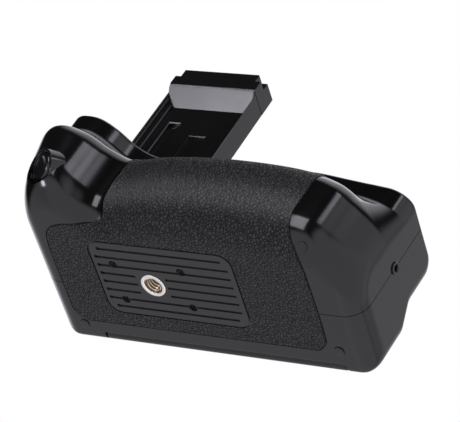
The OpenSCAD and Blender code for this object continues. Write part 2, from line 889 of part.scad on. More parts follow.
// Open tray of the post: side rails, a floor with two pockets, and a ramp up to the cap
module post_tray() {
  rail_top = cap_low - ramp_drop * (rail_front - post_front) / (tray_floor - post_front);
  ramp_foot = cap_low - ramp_drop;
  color(satin_tone) difference() {
    prism_x(post_left, post_right, [
      [post_back, body_height],
      [post_back, cap_low],
      [post_front, cap_low],
      [rail_front, rail_top],
      [rail_front, body_height]
    ]);
    prism_x(post_left + rail_width, post_right - rail_width, [
      [rail_front - over, body_height - over],
      [rail_front - over, rail_top],
      [rail_front, rail_top],
      [tray_floor, ramp_foot],
      [tray_floor, body_height - over]
    ]);
    for (x = [post_left + rail_width - rail_slot, post_right - rail_width - over])
      block(
        [x, rail_slot_front, body_height - over],
        [x + rail_slot + over, rail_slot_front + rail_slot_width, ramp_foot - rail_slot_end]
      );
    for (t = tray_pockets)
      block(
        [post_left + t[0], tray_floor - over, body_height + tray_pocket_foot],
        [post_left + t[0] + t[1], tray_floor + tray_pocket_depth, cap_low - t[2]]
      );
  }
}

module post_cap() {
  color(satin_tone) difference() {
    prism_x(post_left, post_right, [
      [post_back, cap_low],
      [post_back, post_tip],
      [post_front, post_tip],
      [post_front, cap_low + cap_chamfer],
      [post_front + cap_chamfer, cap_low]
    ]);
    for (x = [post_left - over, post_right - cap_notch])
      block(
        [x, post_front - over, post_tip - cap_notch_height],
        [x + cap_notch + over, post_front + cap_notch_depth, post_tip + over]
      );
    contact_comb(over);
  }
}

// Contact strips in the tip of the post, joined by a bar below the surface
module contact_comb(rise) {
  mid = (post_left + post_right) / 2;
  span = (contact_count - 1) * contact_pitch;
  front = post_front + contact_margin;
  for (k = [0:contact_count - 1]) {
    x = mid - span / 2 + k * contact_pitch;
    block(
      [x - contact_width / 2, front, post_tip - contact_depth],
      [x + contact_width / 2, front + contact_length, post_tip + rise]
    );
  }
  block(
    [mid - span / 2, front + contact_length / 3, post_tip - contact_depth],
    [mid + span / 2, front + 2 * contact_length / 3, post_tip - contact_depth + contact_bar]
  );
}

module post_contacts() {
  color(brass_tone) contact_comb(0);
}

function bay_mid(k) = cradle_x + (k - 0.5) * (bay_width + cradle_rib);

module battery_cradle() {
  color(satin_tone) {
    difference() {
      block(
        [cradle_x - cradle_width / 2, cradle_front, cradle_low],
        [cradle_right, cradle_back, cradle_top]
      );
      for (k = [0, 1])
        block(
          [bay_mid(k) - bay_width / 2, cradle_front + cradle_wall, cradle_low + cradle_wall],
          [bay_mid(k) + bay_width / 2, cradle_back + over, cradle_top - cradle_wall]
        );
    }
    for (x = [-1, 1], y = [-1, 1])
      translate([cradle_x + x * stand_span[0], board_y + y * stand_span[1], cradle_top - cradle_wall / 2])
        cylinder(r = stand_r, h = board_stand + cradle_wall / 2);
  }
}

// Contact blades at the inner end of a bay
module bay_contacts(k) {
  span = (contact_count - 1) * contact_pitch;
  wall = cradle_front + cradle_wall;
  mid = cradle_low + cradle_height / 2;
  color(brass_tone) {
    block(
      [bay_mid(k) - span / 2 - contact_width / 2, wall, mid - blade_height / 2],
      [bay_mid(k) + span / 2 + contact_width / 2, wall + contact_bar, mid + blade_height / 2]
    );
    for (n = [0:contact_count - 1])
      translate([bay_mid(k) - span / 2 + n * contact_pitch, wall, mid])
        block([-blade_thickness / 2, 0, -blade_height / 2], [blade_thickness / 2, blade_reach, blade_height / 2]);
  }
}

module main_board() {
  color(board_tone) translate([cradle_x, board_y, board_low]) {
    difference() {
      block([-board_length / 2, -board_width / 2, 0], [board_length / 2, board_width / 2, board_thickness]);
      for (x = [-1, 1], y = [-1, 1])
        translate([x * stand_span[0], y * stand_span[1], -over])
          cylinder(r = stand_hole_r, h = board_thickness + 2 * over);
    }
    for (c = board_chips)
      translate([c[0], c[1], board_thickness / 2]) block([0, 0, 0], [c[2], c[3], board_thickness / 2 + c[4]]);
  }
}

module remote_jack() {
  color(satin_tone) difference() {
    union() {
      jack_body();
      rod_x(jack_face - jack_ring_length - over, jack_face, part_y, jack_z, jack_ring_r);
    }
    rod_x(jack_face - jack_depth, jack_face + over, part_y, jack_z, jack_bore_r);
  }
}

// Frame at the rim of the bezel, Z out of the lobe
module at_bezel() {
  at_button() translate([0, 0, -bezel_sink]) children();
}

module shutter_bezel() {
  color(satin_tone) at_bezel() difference() {
    translate([0, 0, -bezel_depth]) cylinder(r = bezel_r, h = bezel_depth);
    translate([0, 0, -bezel_depth - over]) cylinder(r = button_r + button_play, h = bezel_depth + 2 * over);
    translate([0, 0, -bezel_depth - over]) cylinder(r = flange_room_r, h = bezel_depth + over - bezel_lip);
  }
}

module shutter_button() {
  foot = -bezel_lip - flange_gap - flange_height;
  color(shell_tone) at_bezel() difference() {
    union() {
      translate([0, 0, foot]) cylinder(r = flange_r, h = flange_height);
      translate([0, 0, foot]) cylinder(r = button_r, h = button_proud - foot);
    }
    translate([0, 0, button_proud + dish_r - dish_depth]) sphere(dish_r);
  }
}

// Outline of the switch under the button, standing up by some height from its bed
module switch_box(rise) {
  block(
    [-switch_size / 2, -switch_size / 2, -bezel_depth - switch_bed],
    [switch_size / 2, switch_size / 2, -bezel_depth + rise]
  );
}

module shutter_switch() {
  color(satin_tone) at_bezel() switch_box(switch_rise);
}

module lock_switch() {
  back = upper_rear - lock_wall - lock_plate[1] - lock_play;
  color(satin_tone) translate([lock_x + lock_travel / 2, back, lock_z])
    block(
      [-lock_switch_size[0] / 2, -lock_switch_size[1], -lock_switch_size[2] / 2],
      [lock_switch_size[0] / 2, 0, lock_switch_size[2] / 2]
    );
}

module lock_slider() {
  face = upper_rear - lock_wall;
  color(satin_tone) translate([lock_x, face, lock_z]) {
    block(
      [-lock_plate[0] / 2, -lock_plate[1], -lock_plate[2] / 2],
      [lock_plate[0] / 2, -lock_lift, lock_plate[2] / 2]
    );
    block([-lock_knob[0] / 2, -lock_plate[1], -lock_knob[2] / 2], [lock_knob[0] / 2, lock_knob[1], lock_knob[2] / 2]);
  }
}

module chassis_plate() {
  color(steel_tone) difference() {
    translate([wheel_x - chassis_length / 2, chassis_y - chassis_width / 2, chassis_low])
      cube([chassis_length, chassis_width, chassis_thickness]);
    translate([wheel_x, wheel_y, chassis_low - over])
      cylinder(r = shaft_r + screw_play, h = chassis_thickness + 2 * over);
  }
}

module mounting_wheel() {
  thrust = wheel_gap - thrust_gap;
  color(satin_tone) translate([wheel_x, wheel_y, wheel_low]) difference() {
    union() {
      linear_extrude(wheel_thickness) polygon([for (k = [0:2 * wheel_ribs - 1])
        let (r = k % 2 == 0 ? wheel_r : wheel_r - wheel_rib_depth, g = 180 * k / wheel_ribs)
        [r * cos(g), r * sin(g)]]);
      translate([0, 0, -thrust]) cylinder(r = hub_r, h = thrust + wheel_thickness / 2);
    }
    translate([0, 0, -over]) cylinder(r = shaft_r, h = wheel_thickness + 2 * over);
  }
}

module mounting_screw() {
  foot = chassis_low - thrust_gap - screw_foot_height;
  color(steel_tone) translate([wheel_x, wheel_y, foot]) {
    cylinder(r = screw_foot_r, h = screw_foot_height);
    cylinder(r = shaft_r, h = body_height - foot);
    cylinder(r = screw_r, h = body_height + screw_rise - foot);
  }
}

module door_pin() {
  color(steel_tone) rod_x(door_left - hinge_pin_past, door_right + hinge_pin_past, hinge_y, hinge_z, hinge_pin_r);
}

// Top edge of the door's outer face, moved along the slope by some distance
function door_top_edge(past) = [door_face - slope_run * (door_top - slope_low), door_top] + past * slope_along;

// Door: a barrel on the pin, an upright panel and a sloping upper panel
module battery_door() {
  edge = door_top_edge(0);
  recess_end = latch_x + latch_length / 2 + latch_travel + latch_play;
  color(shell_tone) difference() {
    union() {
      rod_x(door_left, door_right, hinge_y, hinge_z, barrel_r);
      prism_x(door_left, door_right, [
        [door_back, hinge_z],
        [door_face, hinge_z],
        [door_face, slope_low],
        edge,
        edge - door_thickness * slope_out,
        [door_back, slope_low + (door_face - door_back - door_thickness * slope_norm) / slope_run]
      ]);
    }
    rod_x(door_left - over, door_right + over, hinge_y, hinge_z, hinge_pin_r + hinge_play);
    block(
      [latch_x - latch_length / 2 - latch_play, latch_floor, latch_z - latch_height / 2 - latch_play],
      [recess_end, door_face + over, latch_z + latch_height / 2 + latch_play]
    );
    block(
      [
        latch_x - latch_length / 2 - tongue_left - tongue_play,
        latch_floor,
        latch_z - tongue_height / 2 - tongue_play
      ],
      [
        door_right + over,
        latch_floor + latch_lift + tongue_thickness + latch_play,
        latch_z + tongue_height / 2 + tongue_play
      ]
    );
  }
}

module door_latch() {
  low = latch_floor + latch_lift;
  half = latch_length / 2;
  color(satin_tone) translate([latch_x, low, latch_z]) {
    block([-half, 0, -latch_height / 2], [half, door_face - latch_sunk - low, latch_height / 2]);
    block(
      [-half - tongue_left, 0, -tongue_height / 2],
      [half + tongue_right, tongue_thickness, tongue_height / 2]
    );
    for (k = [-1:1])
      block(
        [k * latch_rib_pitch - latch_rib / 2, 0, -latch_height / 2 + latch_rib],
        [k * latch_rib_pitch + latch_rib / 2, door_face - low, latch_height / 2 - latch_rib]
      );
  }
}

front_shell();
rear_shell();
rubber_cover();
tripod_plate();
tripod_bush();
bush_carrier();
plate_screw(0);  // plate_screw_1
plate_screw(1);  // plate_screw_2
plate_screw(2);  // plate_screw_3
plate_screw(3);  // plate_screw_4
case_screw(0);  // case_screw_1
case_screw(1);  // case_screw_2
case_screw(2);  // case_screw_3
top_deck();
deck_pad();
locating_pin(0);  // locating_pin_1
locating_pin(1);  // locating_pin_2
post_tray();
post_cap();
post_contacts();
battery_cradle();
bay_contacts(0);  // bay_contacts_1
bay_contacts(1);  // bay_contacts_2
main_board();
remote_jack();
shutter_bezel();
shutter_switch();
lock_switch();
chassis_plate();
door_pin();
battery_door();
door_latch();
lock_slider();
shutter_button();
mounting_wheel();
mounting_screw();
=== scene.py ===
"""Looks of the camera battery grip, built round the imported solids. Lengths are millimetres."""

import math

import bmesh
import bpy
from mathutils import Matrix, Vector


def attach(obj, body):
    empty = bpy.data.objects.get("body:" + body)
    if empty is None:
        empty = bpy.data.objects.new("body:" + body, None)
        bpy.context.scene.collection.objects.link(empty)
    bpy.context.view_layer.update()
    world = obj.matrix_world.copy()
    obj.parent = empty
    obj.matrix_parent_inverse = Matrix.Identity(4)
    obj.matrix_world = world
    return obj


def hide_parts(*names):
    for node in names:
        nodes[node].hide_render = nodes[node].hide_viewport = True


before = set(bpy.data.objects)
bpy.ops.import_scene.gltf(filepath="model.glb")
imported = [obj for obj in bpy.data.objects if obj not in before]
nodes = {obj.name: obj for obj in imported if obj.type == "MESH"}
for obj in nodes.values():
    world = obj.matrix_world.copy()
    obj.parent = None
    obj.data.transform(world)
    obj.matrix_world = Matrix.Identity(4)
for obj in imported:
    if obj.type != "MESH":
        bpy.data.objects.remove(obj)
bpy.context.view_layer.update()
MM = 0.001

# Housing: place along X, front reach, crest height, reach of the collar
STATIONS = [
    (-50, 44, 30, 34.5), (-43, 46, 31, 35.5), (-37, 45.5, 31, 34.5), (-31.5, 42.8, 31.5, 30),
    (-26, 36.6, 33, 23), (-20, 31, 35, 18.8), (-14, 29.8, 36, 17.9), (-4, 32.2, 36, 18.2),
    (12, 34, 36, 18.5), (30, 34.3, 36, 18.5), (48, 33.2, 35.8, 17.8), (60, 31.4, 34.8, 16),
    (66.5, 29.4, 33.2, 15), (69.5, 27, 32.2, 14.6), (72, 24.1, 31, 14.2), (75.5, 20.4, 29.4, 13.7),
    (79, 17.4, 27.8, 13.3), (83, 15.6, 26, 12.8),
]
X_LEFT, X_RIGHT = -50.0, 83.0
DRAFT, DRAFT_LEVEL = 0.0005, 9.0
SHELL_BASE, RIM, COLLAR_FOOT, PART_Y = 0.4, 50.0, 40.5, 4.0
REAR, UPPER_REAR, SLOPE_LOW, SLOPE_HIGH = 31.8, 25.3, 22.0, 31.0
BASE_ROUND, SIDE_ROUND, RIM_ROUND = 8.0, 6.0, 1.5
FOOT_ROUND, LOBE_ROUND, JACK_ROUND, COLLAR_ROUND = 20.0, 6.5, 10.5, 9.0
CREST_ROUND, VALLEY_ROUND = 9.0, 4.0
LOW_ROUND, LOBE_EXTRA, LOBE_START, LOBE_RUN, LOW_SHARE = 12, 5, -28, 18, 0.8
REAR_RIM_ROUND, REAR_FALL_ROUND, REAR_SWELL_ROUND, REAR_FOOT_ROUND = 5, 6, 4, 2.6
SEAM = 0.13
LOW_STEPS = 20


def slope_at(k, c):
    a, b = STATIONS[max(k - 1, 0)], STATIONS[min(k + 1, len(STATIONS) - 1)]
    return (b[c] - a[c]) / (b[0] - a[0])


def station(x, c):
    x = min(max(x, STATIONS[0][0]), STATIONS[-1][0])
    k = max(i for i in range(len(STATIONS) - 1) if x >= STATIONS[i][0])
    p, q = STATIONS[k], STATIONS[k + 1]
    w = q[0] - p[0]
    t = (x - p[0]) / w
    u = 1 - t
    return ((1 + 2 * t) * u * u * p[c] + t * u * u * w * slope_at(k, c)
            + t * t * (3 - 2 * t) * q[c] - t * t * u * w * slope_at(k + 1, c))


def drawn_in(x, left_r, right_r):
    left = x - X_LEFT < X_RIGHT - x
    r = left_r if left else right_r
    d = x - X_LEFT if left else X_RIGHT - x
    return 0.0 if d >= r else r - math.sqrt(max(r * r - (r - d) ** 2, 0.0))


def unit(v):
    n = math.hypot(*v)
    return (v[0] / n, v[1] / n)


def corner(a, b, c, r, n):
    """Corner b of the run a, b, c rounded with radius r: points with outward normals."""
    u = unit((a[0] - b[0], a[1] - b[1]))
    w = unit((c[0] - b[0], c[1] - b[1]))
    half = math.acos(max(-1.0, min(1.0, u[0] * w[0] + u[1] * w[1]))) / 2
    m = unit((u[0] + w[0], u[1] + w[1]))
    mid = (b[0] + m[0] * r / math.sin(half), b[1] + m[1] * r / math.sin(half))
    t = r / math.tan(half)
    s = (b[0] + u[0] * t - mid[0], b[1] + u[1] * t - mid[1])
    e = (b[0] + w[0] * t - mid[0], b[1] + w[1] * t - mid[1])
    g0 = math.atan2(s[1], s[0])
    sweep = (math.atan2(e[1], e[0]) - g0 + math.pi) % (2 * math.pi) - math.pi
    out = 1 if sweep < 0 else -1
    turns = [g0 + sweep * k / n for k in range(n + 1)]
    return [(mid[0] + r * math.cos(g), mid[1] + r * math.sin(g), out * math.cos(g), out * math.sin(g))
            for g in turns]


def joined(*runs):
    """Runs of section points joined by straight stretches, each split into the number between the runs."""
    points = list(runs[0])
    for n, run in zip(runs[1::2], runs[2::2]):
        p, q = points[-1], run[0]
        points += [tuple(p[i] + (q[i] - p[i]) * k / n for i in range(4)) for k in range(1, n)]
        points += run
    return points


def front_corners(x):
    base = SHELL_BASE + drawn_in(x, BASE_ROUND, BASE_ROUND)
    reach = station(x, 1)
    foot = reach - drawn_in(x, FOOT_ROUND, JACK_ROUND)
    crest = reach - drawn_in(x, LOBE_ROUND, JACK_ROUND)
    collar = station(x, 3) - drawn_in(x, SIDE_ROUND, COLLAR_ROUND)
    rim = RIM - drawn_in(x, RIM_ROUND, RIM_ROUND)
    lobe = min(max((LOBE_START - x) / LOBE_RUN, 0), 1)
    low = min(LOW_ROUND + LOBE_EXTRA * lobe, LOW_SHARE * (foot + PART_Y))
    a, b, d = (PART_Y, base), (-foot, base), (-crest, station(x, 2))
    e, g, h = (-collar, COLLAR_FOOT), (-collar, rim), (PART_Y, rim)
    return (base, rim, corner(a, b, d, low, LOW_STEPS), corner(b, d, e, CREST_ROUND, 16),
            corner(d, e, g, VALLEY_ROUND, 10), corner(e, g, h, RIM_ROUND, 6))


def front_path(x):
    base, rim, foot, crest, valley, edge = front_corners(x)
    start = [(PART_Y - SEAM, base, 0, -1)]
    end = [(PART_Y - SEAM, rim, 0, 1)]
    return joined(start, 14, foot, 10, crest, 5, valley, 5, edge, 10, end)


def rear_path(x):
    base = SHELL_BASE + drawn_in(x, BASE_ROUND, BASE_ROUND)
    rim = RIM - drawn_in(x, RIM_ROUND, RIM_ROUND)
    d = drawn_in(x, SIDE_ROUND, SIDE_ROUND)
    a, b, c = (PART_Y, rim), (UPPER_REAR - d, rim), (UPPER_REAR - d, SLOPE_HIGH)
    e, f, g = (REAR - d, SLOPE_LOW), (REAR - d, base), (PART_Y, base)
    start = [(PART_Y + SEAM, rim, 0, 1)]
    end = [(PART_Y + SEAM, base, 0, -1)]
    return joined(start, 8, corner(a, b, c, REAR_RIM_ROUND, 12), 5, corner(b, c, e, REAR_FALL_ROUND, 8), 4,
                  corner(c, e, f, REAR_SWELL_ROUND, 8), 8, corner(e, f, g, REAR_FOOT_ROUND, 8), 10, end)


def placed(x, p, out=0.0):
    y, z = p[0] + out * p[2], p[1] + out * p[3]
    return (x * (1 + DRAFT * (z - DRAFT_LEVEL)), y, z)


# Mesh helpers
WELD, FINE_WELD = 1e-6, 1e-7
EDGE_TURN, TURNED_CREASE = 38, 50


def mesh_object(name, points, faces, material=None, smooth=True):
    mesh = bpy.data.meshes.new(name)
    mesh.from_pydata([(p[0] * MM, p[1] * MM, p[2] * MM) for p in points], [], faces)
    mesh.validate()
    work = bmesh.new()
    work.from_mesh(mesh)
    bmesh.ops.recalc_face_normals(work, faces=work.faces)
    work.to_mesh(mesh)
    work.free()
    if smooth:
        mesh.shade_smooth()
    made = bpy.data.objects.new(name, mesh)
    bpy.context.scene.collection.objects.link(made)
    if material:
        made.data.materials.append(material)
    return made


def sharpen(obj, degrees):
    """Marks the edges that turn more than this as sharp."""
    work = bmesh.new()
    work.from_mesh(obj.data)
    limit = math.radians(degrees)
    for edge in work.edges:
        edge.smooth = len(edge.link_faces) == 2 and edge.calc_face_angle(0) < limit
    for face in work.faces:
        face.smooth = True
    work.to_mesh(obj.data)
    work.free()


def settle(obj):
    """Applies the modifiers of a piece."""
    done = bpy.data.meshes.new_from_object(obj.evaluated_get(bpy.context.evaluated_depsgraph_get()))
    obj.modifiers.clear()
    old = obj.data
    obj.data = done
    bpy.data.meshes.remove(old)


def carve(obj, tools):
    """Cuts every tool out of a piece and removes the tools."""
    for tool in tools:
        cut = obj.modifiers.new("cut", "BOOLEAN")
        cut.operation = "DIFFERENCE"
        cut.solver = "MANIFOLD"
        cut.object = tool
    bpy.context.view_layer.update()
    settle(obj)
    for tool in tools:
        bpy.data.objects.remove(tool)


def chamfers(obj, width):
    """Flat chamfers on the outer edges of a piece."""
    work = bmesh.new()
    work.from_mesh(obj.data)
    bmesh.ops.remove_doubles(work, verts=work.verts, dist=WELD)
    weight = work.edges.layers.float.new("bevel_weight_edge")
    limit = math.radians(EDGE_TURN)
    for edge in work.edges:
        outer = len(edge.link_faces) == 2 and edge.is_convex and edge.calc_face_angle(0) > limit
        edge[weight] = 1.0 if outer else 0.0
    work.to_mesh(obj.data)
    work.free()
    bevel = obj.modifiers.new("edges", "BEVEL")
    bevel.width = width * MM
    bevel.segments = 1
    bevel.limit_method = "WEIGHT"
    bevel.use_clamp_overlap = False


def soft_edges(obj, width):
    """Rounds the edges of a hard piece for the light."""
    weld = obj.modifiers.new("weld", "WELD")
    weld.merge_threshold = WELD
    bevel = obj.modifiers.new("edges", "BEVEL")
    bevel.width = width * MM
    bevel.segments = 2
    bevel.limit_method = "ANGLE"
    bevel.angle_limit = math.radians(EDGE_TURN)
    even = obj.modifiers.new("even", "WEIGHTED_NORMAL")
    even.keep_sharp = True


def box_points(low, high):
    return [(x, y, z) for x in (low[0], high[0]) for y in (low[1], high[1]) for z in (low[2], high[2])]


BOX_FACES = [(0, 1, 3, 2), (4, 6, 7, 5), (0, 4, 5, 1), (2, 3, 7, 6), (0, 2, 6, 4), (1, 5, 7, 3)]


def box(name, low, high):
    return mesh_object(name, box_points(low, high), BOX_FACES, smooth=False)


def prism(name, outline, low, high, axis=2):
    """Prism over an outline, along Z, or along X where axis is 0."""
    n = len(outline)
    place = (lambda p, t: (p[0], p[1], t)) if axis == 2 else (lambda p, t: (t, p[0], p[1]))
    points = [place(p, low) for p in outline] + [place(p, high) for p in outline]
    faces = [(k, (k + 1) % n, n + (k + 1) % n, n + k) for k in range(n)]
    return mesh_object(name, points, faces + [tuple(range(n))[::-1], tuple(range(n, 2 * n))], smooth=False)


def turned(name, profile, matrix=None, material=None, steps=64, closed=True):
    """Piece of revolution about Z: profile points (radius, height), joined into a ring where closed."""
    points, faces = [], []
    n = len(profile)
    for k in range(steps):
        g = 2 * math.pi * k / steps
        points += [(r * math.cos(g), r * math.sin(g), z) for r, z in profile]
    spans = range(n) if closed else range(n - 1)
    for k in range(steps):
        for j in spans:
            a, b = k * n + j, k * n + (j + 1) % n
            c, d = ((k + 1) % steps) * n + (j + 1) % n, ((k + 1) % steps) * n + j
            faces.append((a, b, c, d))
    made = mesh_object(name, points, faces, material)
    work = bmesh.new()
    work.from_mesh(made.data)
    bmesh.ops.remove_doubles(work, verts=work.verts, dist=FINE_WELD)
    bmesh.ops.recalc_face_normals(work, faces=work.faces)
    work.to_mesh(made.data)
    work.free()
    if matrix:
        made.data.transform(matrix)
    sharpen(made, TURNED_CREASE)
    return made


def at(place, turn=None):
    """Matrix that puts a piece drawn in millimetres at a place."""
    moved = Matrix.Translation(Vector(place) * MM)
    return moved @ turn if turn else moved


def arc(cx, cz, r, start, end, n):
    turns = [math.radians(start + (end - start) * k / n) for k in range(n + 1)]
    return [(cx + r * math.cos(g), cz + r * math.sin(g)) for g in turns]


def rounded(w, h, r, x, y, n=10):
    """Outline of a rectangle with rounded corners about x, y."""
    points = []
    for cx, cy, g0 in ((1, 1, 0), (-1, 1, 90), (-1, -1, 180), (1, -1, 270)):
        for k in range(n + 1):
            g = math.radians(g0 + 90 * k / n)
            points.append((x + cx * (w / 2 - r) + r * math.cos(g), y + cy * (h / 2 - r) + r * math.sin(g)))
    return points


# Materials
CLOUD_SCALE, CLOUD_LOW, CLOUD_HIGH, GLOSS_SPREAD = 38.0, 0.3, 0.7, 0.025
METAL_SCALE, METAL_SHADE, METAL_SPREAD, METAL_BUMP = 900.0, 0.82, 0.05, 0.00002
WARP_SCALE, WARP_REACH, CELL_SCALE = 650.0, 0.0011, 820.0
LUMP_SCALE, LUMP_SHARE, LEATHER_BUMP = 420.0, 0.8, 0.0006
LEATHER_DOMES = [(0.0, 0.0), (0.12, 0.4), (0.5, 1.0)]
# Cell tones are painted shade: darkest in the creases, lightest on the cell tops
CREASE_SHADE_TONES, LEATHER_ROUGH = [(0.0, 0.009), (0.3, 0.03), (0.6, 0.06)], [(0.0, 0.6), (0.6, 0.42)]
# Band over the swell of the rubber: painted highlight, a lighter tone on the swell and a darker one on the
# base and top, with a stronger specular on the swell
HIGHLIGHT_BAND_RISE, HIGHLIGHT_BAND_FALL = (0.003, 0.013), (0.012, 0.028)
SWELL_HIGHLIGHT_TONE, SWELL_SPECULAR = (0.7, 1.25), (0.16, 0.72)


def new_material(name):
    made = bpy.data.materials.new(name)
    made.use_nodes = True
    tree = made.node_tree
    return made, tree, tree.nodes["Principled BSDF"]


def node(tree, kind, **values):
    made = tree.nodes.new(kind)
    for key, value in values.items():
        made.inputs[key.replace("_", " ")].default_value = value
    return made


def ramp(tree, source, stops):
    made = tree.nodes.new("ShaderNodeValToRGB")
    while len(made.color_ramp.elements) < len(stops):
        made.color_ramp.elements.new(0.5)
    for element, (place, value) in zip(made.color_ramp.elements, stops):
        element.position = place
        element.color = (*value, 1) if isinstance(value, tuple) else (value, value, value, 1)
    tree.links.new(source, made.inputs["Fac"])
    return made.outputs["Color"]


def combined(tree, kind, *values):
    """Math node over sockets and plain numbers."""
    made = tree.nodes.new("ShaderNodeMath")
    made.operation = kind
    for socket, value in zip(made.inputs, values):
        if isinstance(value, float):
            socket.default_value = value
        else:
            tree.links.new(value, socket)
    return made.outputs["Value"]


def smooth_step(tree, source, span, low=0.0, high=1.0):
    """Value that goes smoothly from low to high while the source crosses the span."""
    made = tree.nodes.new("ShaderNodeMapRange")
    made.interpolation_type = "SMOOTHSTEP"
    for key, value in (("From Min", span[0]), ("From Max", span[1]), ("To Min", low), ("To Max", high)):
        made.inputs[key].default_value = value
    tree.links.new(source, made.inputs["Value"])
    return made.outputs["Result"]


def bumped(tree, shader, height, distance):
    bump = node(tree, "ShaderNodeBump", Strength=1.0, Distance=distance)
    tree.links.new(height, bump.inputs["Height"])
    tree.links.new(bump.outputs["Normal"], shader.inputs["Normal"])


def uneven(tree, shader, cloud, dark, light, rough, spread):
    """Tone and gloss that follow a cloud of noise."""
    for key, low, high in (("Base Color", dark, light), ("Roughness", rough - spread, rough + spread)):
        change = ramp(tree, cloud.outputs["Fac"], [(CLOUD_LOW, low), (CLOUD_HIGH, high)])
        tree.links.new(change, shader.inputs[key])


def plastic(name, dark, light, rough, grain_size, grain_depth):
    """Moulded plastic with a fine spark-eroded grain and a little unevenness of tone and gloss."""
    made, tree, shader = new_material(name)
    where = tree.nodes.new("ShaderNodeTexCoord").outputs["Object"]
    cloud = node(tree, "ShaderNodeTexNoise", Scale=CLOUD_SCALE, Detail=4.0, Roughness=0.6)
    grain = node(tree, "ShaderNodeTexNoise", Scale=1.0 / (grain_size * MM), Detail=2.0, Roughness=0.5)
    for texture in (cloud, grain):
        tree.links.new(where, texture.inputs["Vector"])
    uneven(tree, shader, cloud, dark, light, rough, GLOSS_SPREAD)
    bumped(tree, shader, grain.outputs["Fac"], grain_depth * MM)
    return made


def leather_rubber(name):
    """Rubber moulded with a leather grain: small rounded cells of uneven size, parted by narrow creases that
    are darkened as painted shade; a band over the swell carries a painted highlight.
    """
    made, tree, shader = new_material(name)
    where = tree.nodes.new("ShaderNodeTexCoord").outputs["Object"]
    warp = node(tree, "ShaderNodeTexNoise", Scale=WARP_SCALE, Detail=1.0, Roughness=0.5)
    tree.links.new(where, warp.inputs["Vector"])
    shift = tree.nodes.new("ShaderNodeVectorMath")
    shift.operation = "MULTIPLY_ADD"
    tree.links.new(warp.outputs["Color"], shift.inputs[0])
    shift.inputs[1].default_value = (WARP_REACH, WARP_REACH, WARP_REACH)
    tree.links.new(where, shift.inputs[2])
    cells = tree.nodes.new("ShaderNodeTexVoronoi")
    cells.feature = "DISTANCE_TO_EDGE"
    cells.inputs["Scale"].default_value = CELL_SCALE
    tree.links.new(shift.outputs["Vector"], cells.inputs["Vector"])
    domes = ramp(tree, cells.outputs["Distance"], LEATHER_DOMES)
    lumps = node(tree, "ShaderNodeTexNoise", Scale=LUMP_SCALE, Detail=3.0, Roughness=0.6)
    tree.links.new(where, lumps.inputs["Vector"])
    total = combined(tree, "MULTIPLY_ADD", lumps.outputs["Fac"], LUMP_SHARE, domes)
    parts = tree.nodes.new("ShaderNodeSeparateXYZ")
    tree.links.new(where, parts.inputs[0])

    def highlight_band(values):
        """First value on the base and at the top, second on the swell, where the band paints the swell's
        highlight into the tone and raises the specular.
        """
        rise = smooth_step(tree, parts.outputs["Z"], HIGHLIGHT_BAND_RISE)
        fall = smooth_step(tree, parts.outputs["Z"], HIGHLIGHT_BAND_FALL, 1.0, 0.0)
        return smooth_step(tree, combined(tree, "MULTIPLY", rise, fall), (0.0, 1.0), *values)

    tone = tree.nodes.new("ShaderNodeVectorMath")
    tone.operation = "SCALE"
    # Painted shade: the tone falls dark in the creases between the cells
    tree.links.new(ramp(tree, domes, CREASE_SHADE_TONES), tone.inputs[0])
    # Painted highlight: the tone is lighter on the swell and darker on the base and top
    tree.links.new(highlight_band(SWELL_HIGHLIGHT_TONE), tone.inputs["Scale"])
    tree.links.new(tone.outputs["Vector"], shader.inputs["Base Color"])
    tree.links.new(ramp(tree, domes, LEATHER_ROUGH), shader.inputs["Roughness"])
    tree.links.new(highlight_band(SWELL_SPECULAR), shader.inputs["Specular IOR Level"])
    bumped(tree, shader, total, LEATHER_BUMP)
    return made


def metal(name, tone, rough):
    made, tree, shader = new_material(name)
    shader.inputs["Metallic"].default_value = 1.0
    where = tree.nodes.new("ShaderNodeTexCoord").outputs["Object"]
    noise = node(tree, "ShaderNodeTexNoise", Scale=METAL_SCALE, Detail=3.0, Roughness=0.6)
    tree.links.new(where, noise.inputs["Vector"])
    uneven(tree, shader, noise, tuple(v * METAL_SHADE for v in tone), tone, rough, METAL_SPREAD)
    bumped(tree, shader, noise.outputs["Fac"], METAL_BUMP)
    return made


SHELL = plastic("shell_plastic", 0.003, 0.0045, 0.14, 0.10, 0.0005)
POST = plastic("post_plastic", 0.005, 0.0075, 0.2, 0.12, 0.0008)
SATIN = plastic("satin_plastic", 0.011, 0.016, 0.40, 0.16, 0.004)
PLATE = plastic("plate_plastic", 0.008, 0.012, 0.42, 0.20, 0.006)
BUTTON = plastic("button_plastic", 0.005, 0.008, 0.14, 0.10, 0.0006)
RUBBER = leather_rubber("leather_rubber")
STEEL = metal("turned_steel", (0.62, 0.62, 0.63), 0.28)
BUSH = metal("plated_bush", (0.97, 0.95, 0.88), 0.3)
BRASS = metal("contact_brass", (0.83, 0.66, 0.36), 0.25)
BLACK_STEEL = metal("black_steel", (0.045, 0.045, 0.048), 0.32)
BOARD = plastic("board_laminate", (0.010, 0.055, 0.028), (0.014, 0.075, 0.038), 0.38, 0.3, 0.004)

# Shells at full smoothness, cut for what they hold
LEFT_COUNT, MIDDLE_COUNT, RIGHT_COUNT = 30, 130, 22
MIDDLE_START, MIDDLE_RUN = -29.5, 104.0


def round_share(k, count):
    """Share of a quarter round at step k, finest at its outer end."""
    return 1 - math.cos(math.pi / 2 * k / count)


LEFT_XS = [X_LEFT + FOOT_ROUND * round_share(k, LEFT_COUNT) for k in range(LEFT_COUNT + 1)]
MIDDLE_XS = [MIDDLE_START + MIDDLE_RUN * k / MIDDLE_COUNT for k in range(1, MIDDLE_COUNT + 1)]
RIGHT_XS = [X_RIGHT - JACK_ROUND * round_share(k, RIGHT_COUNT) for k in range(RIGHT_COUNT - 1, -1, -1)]


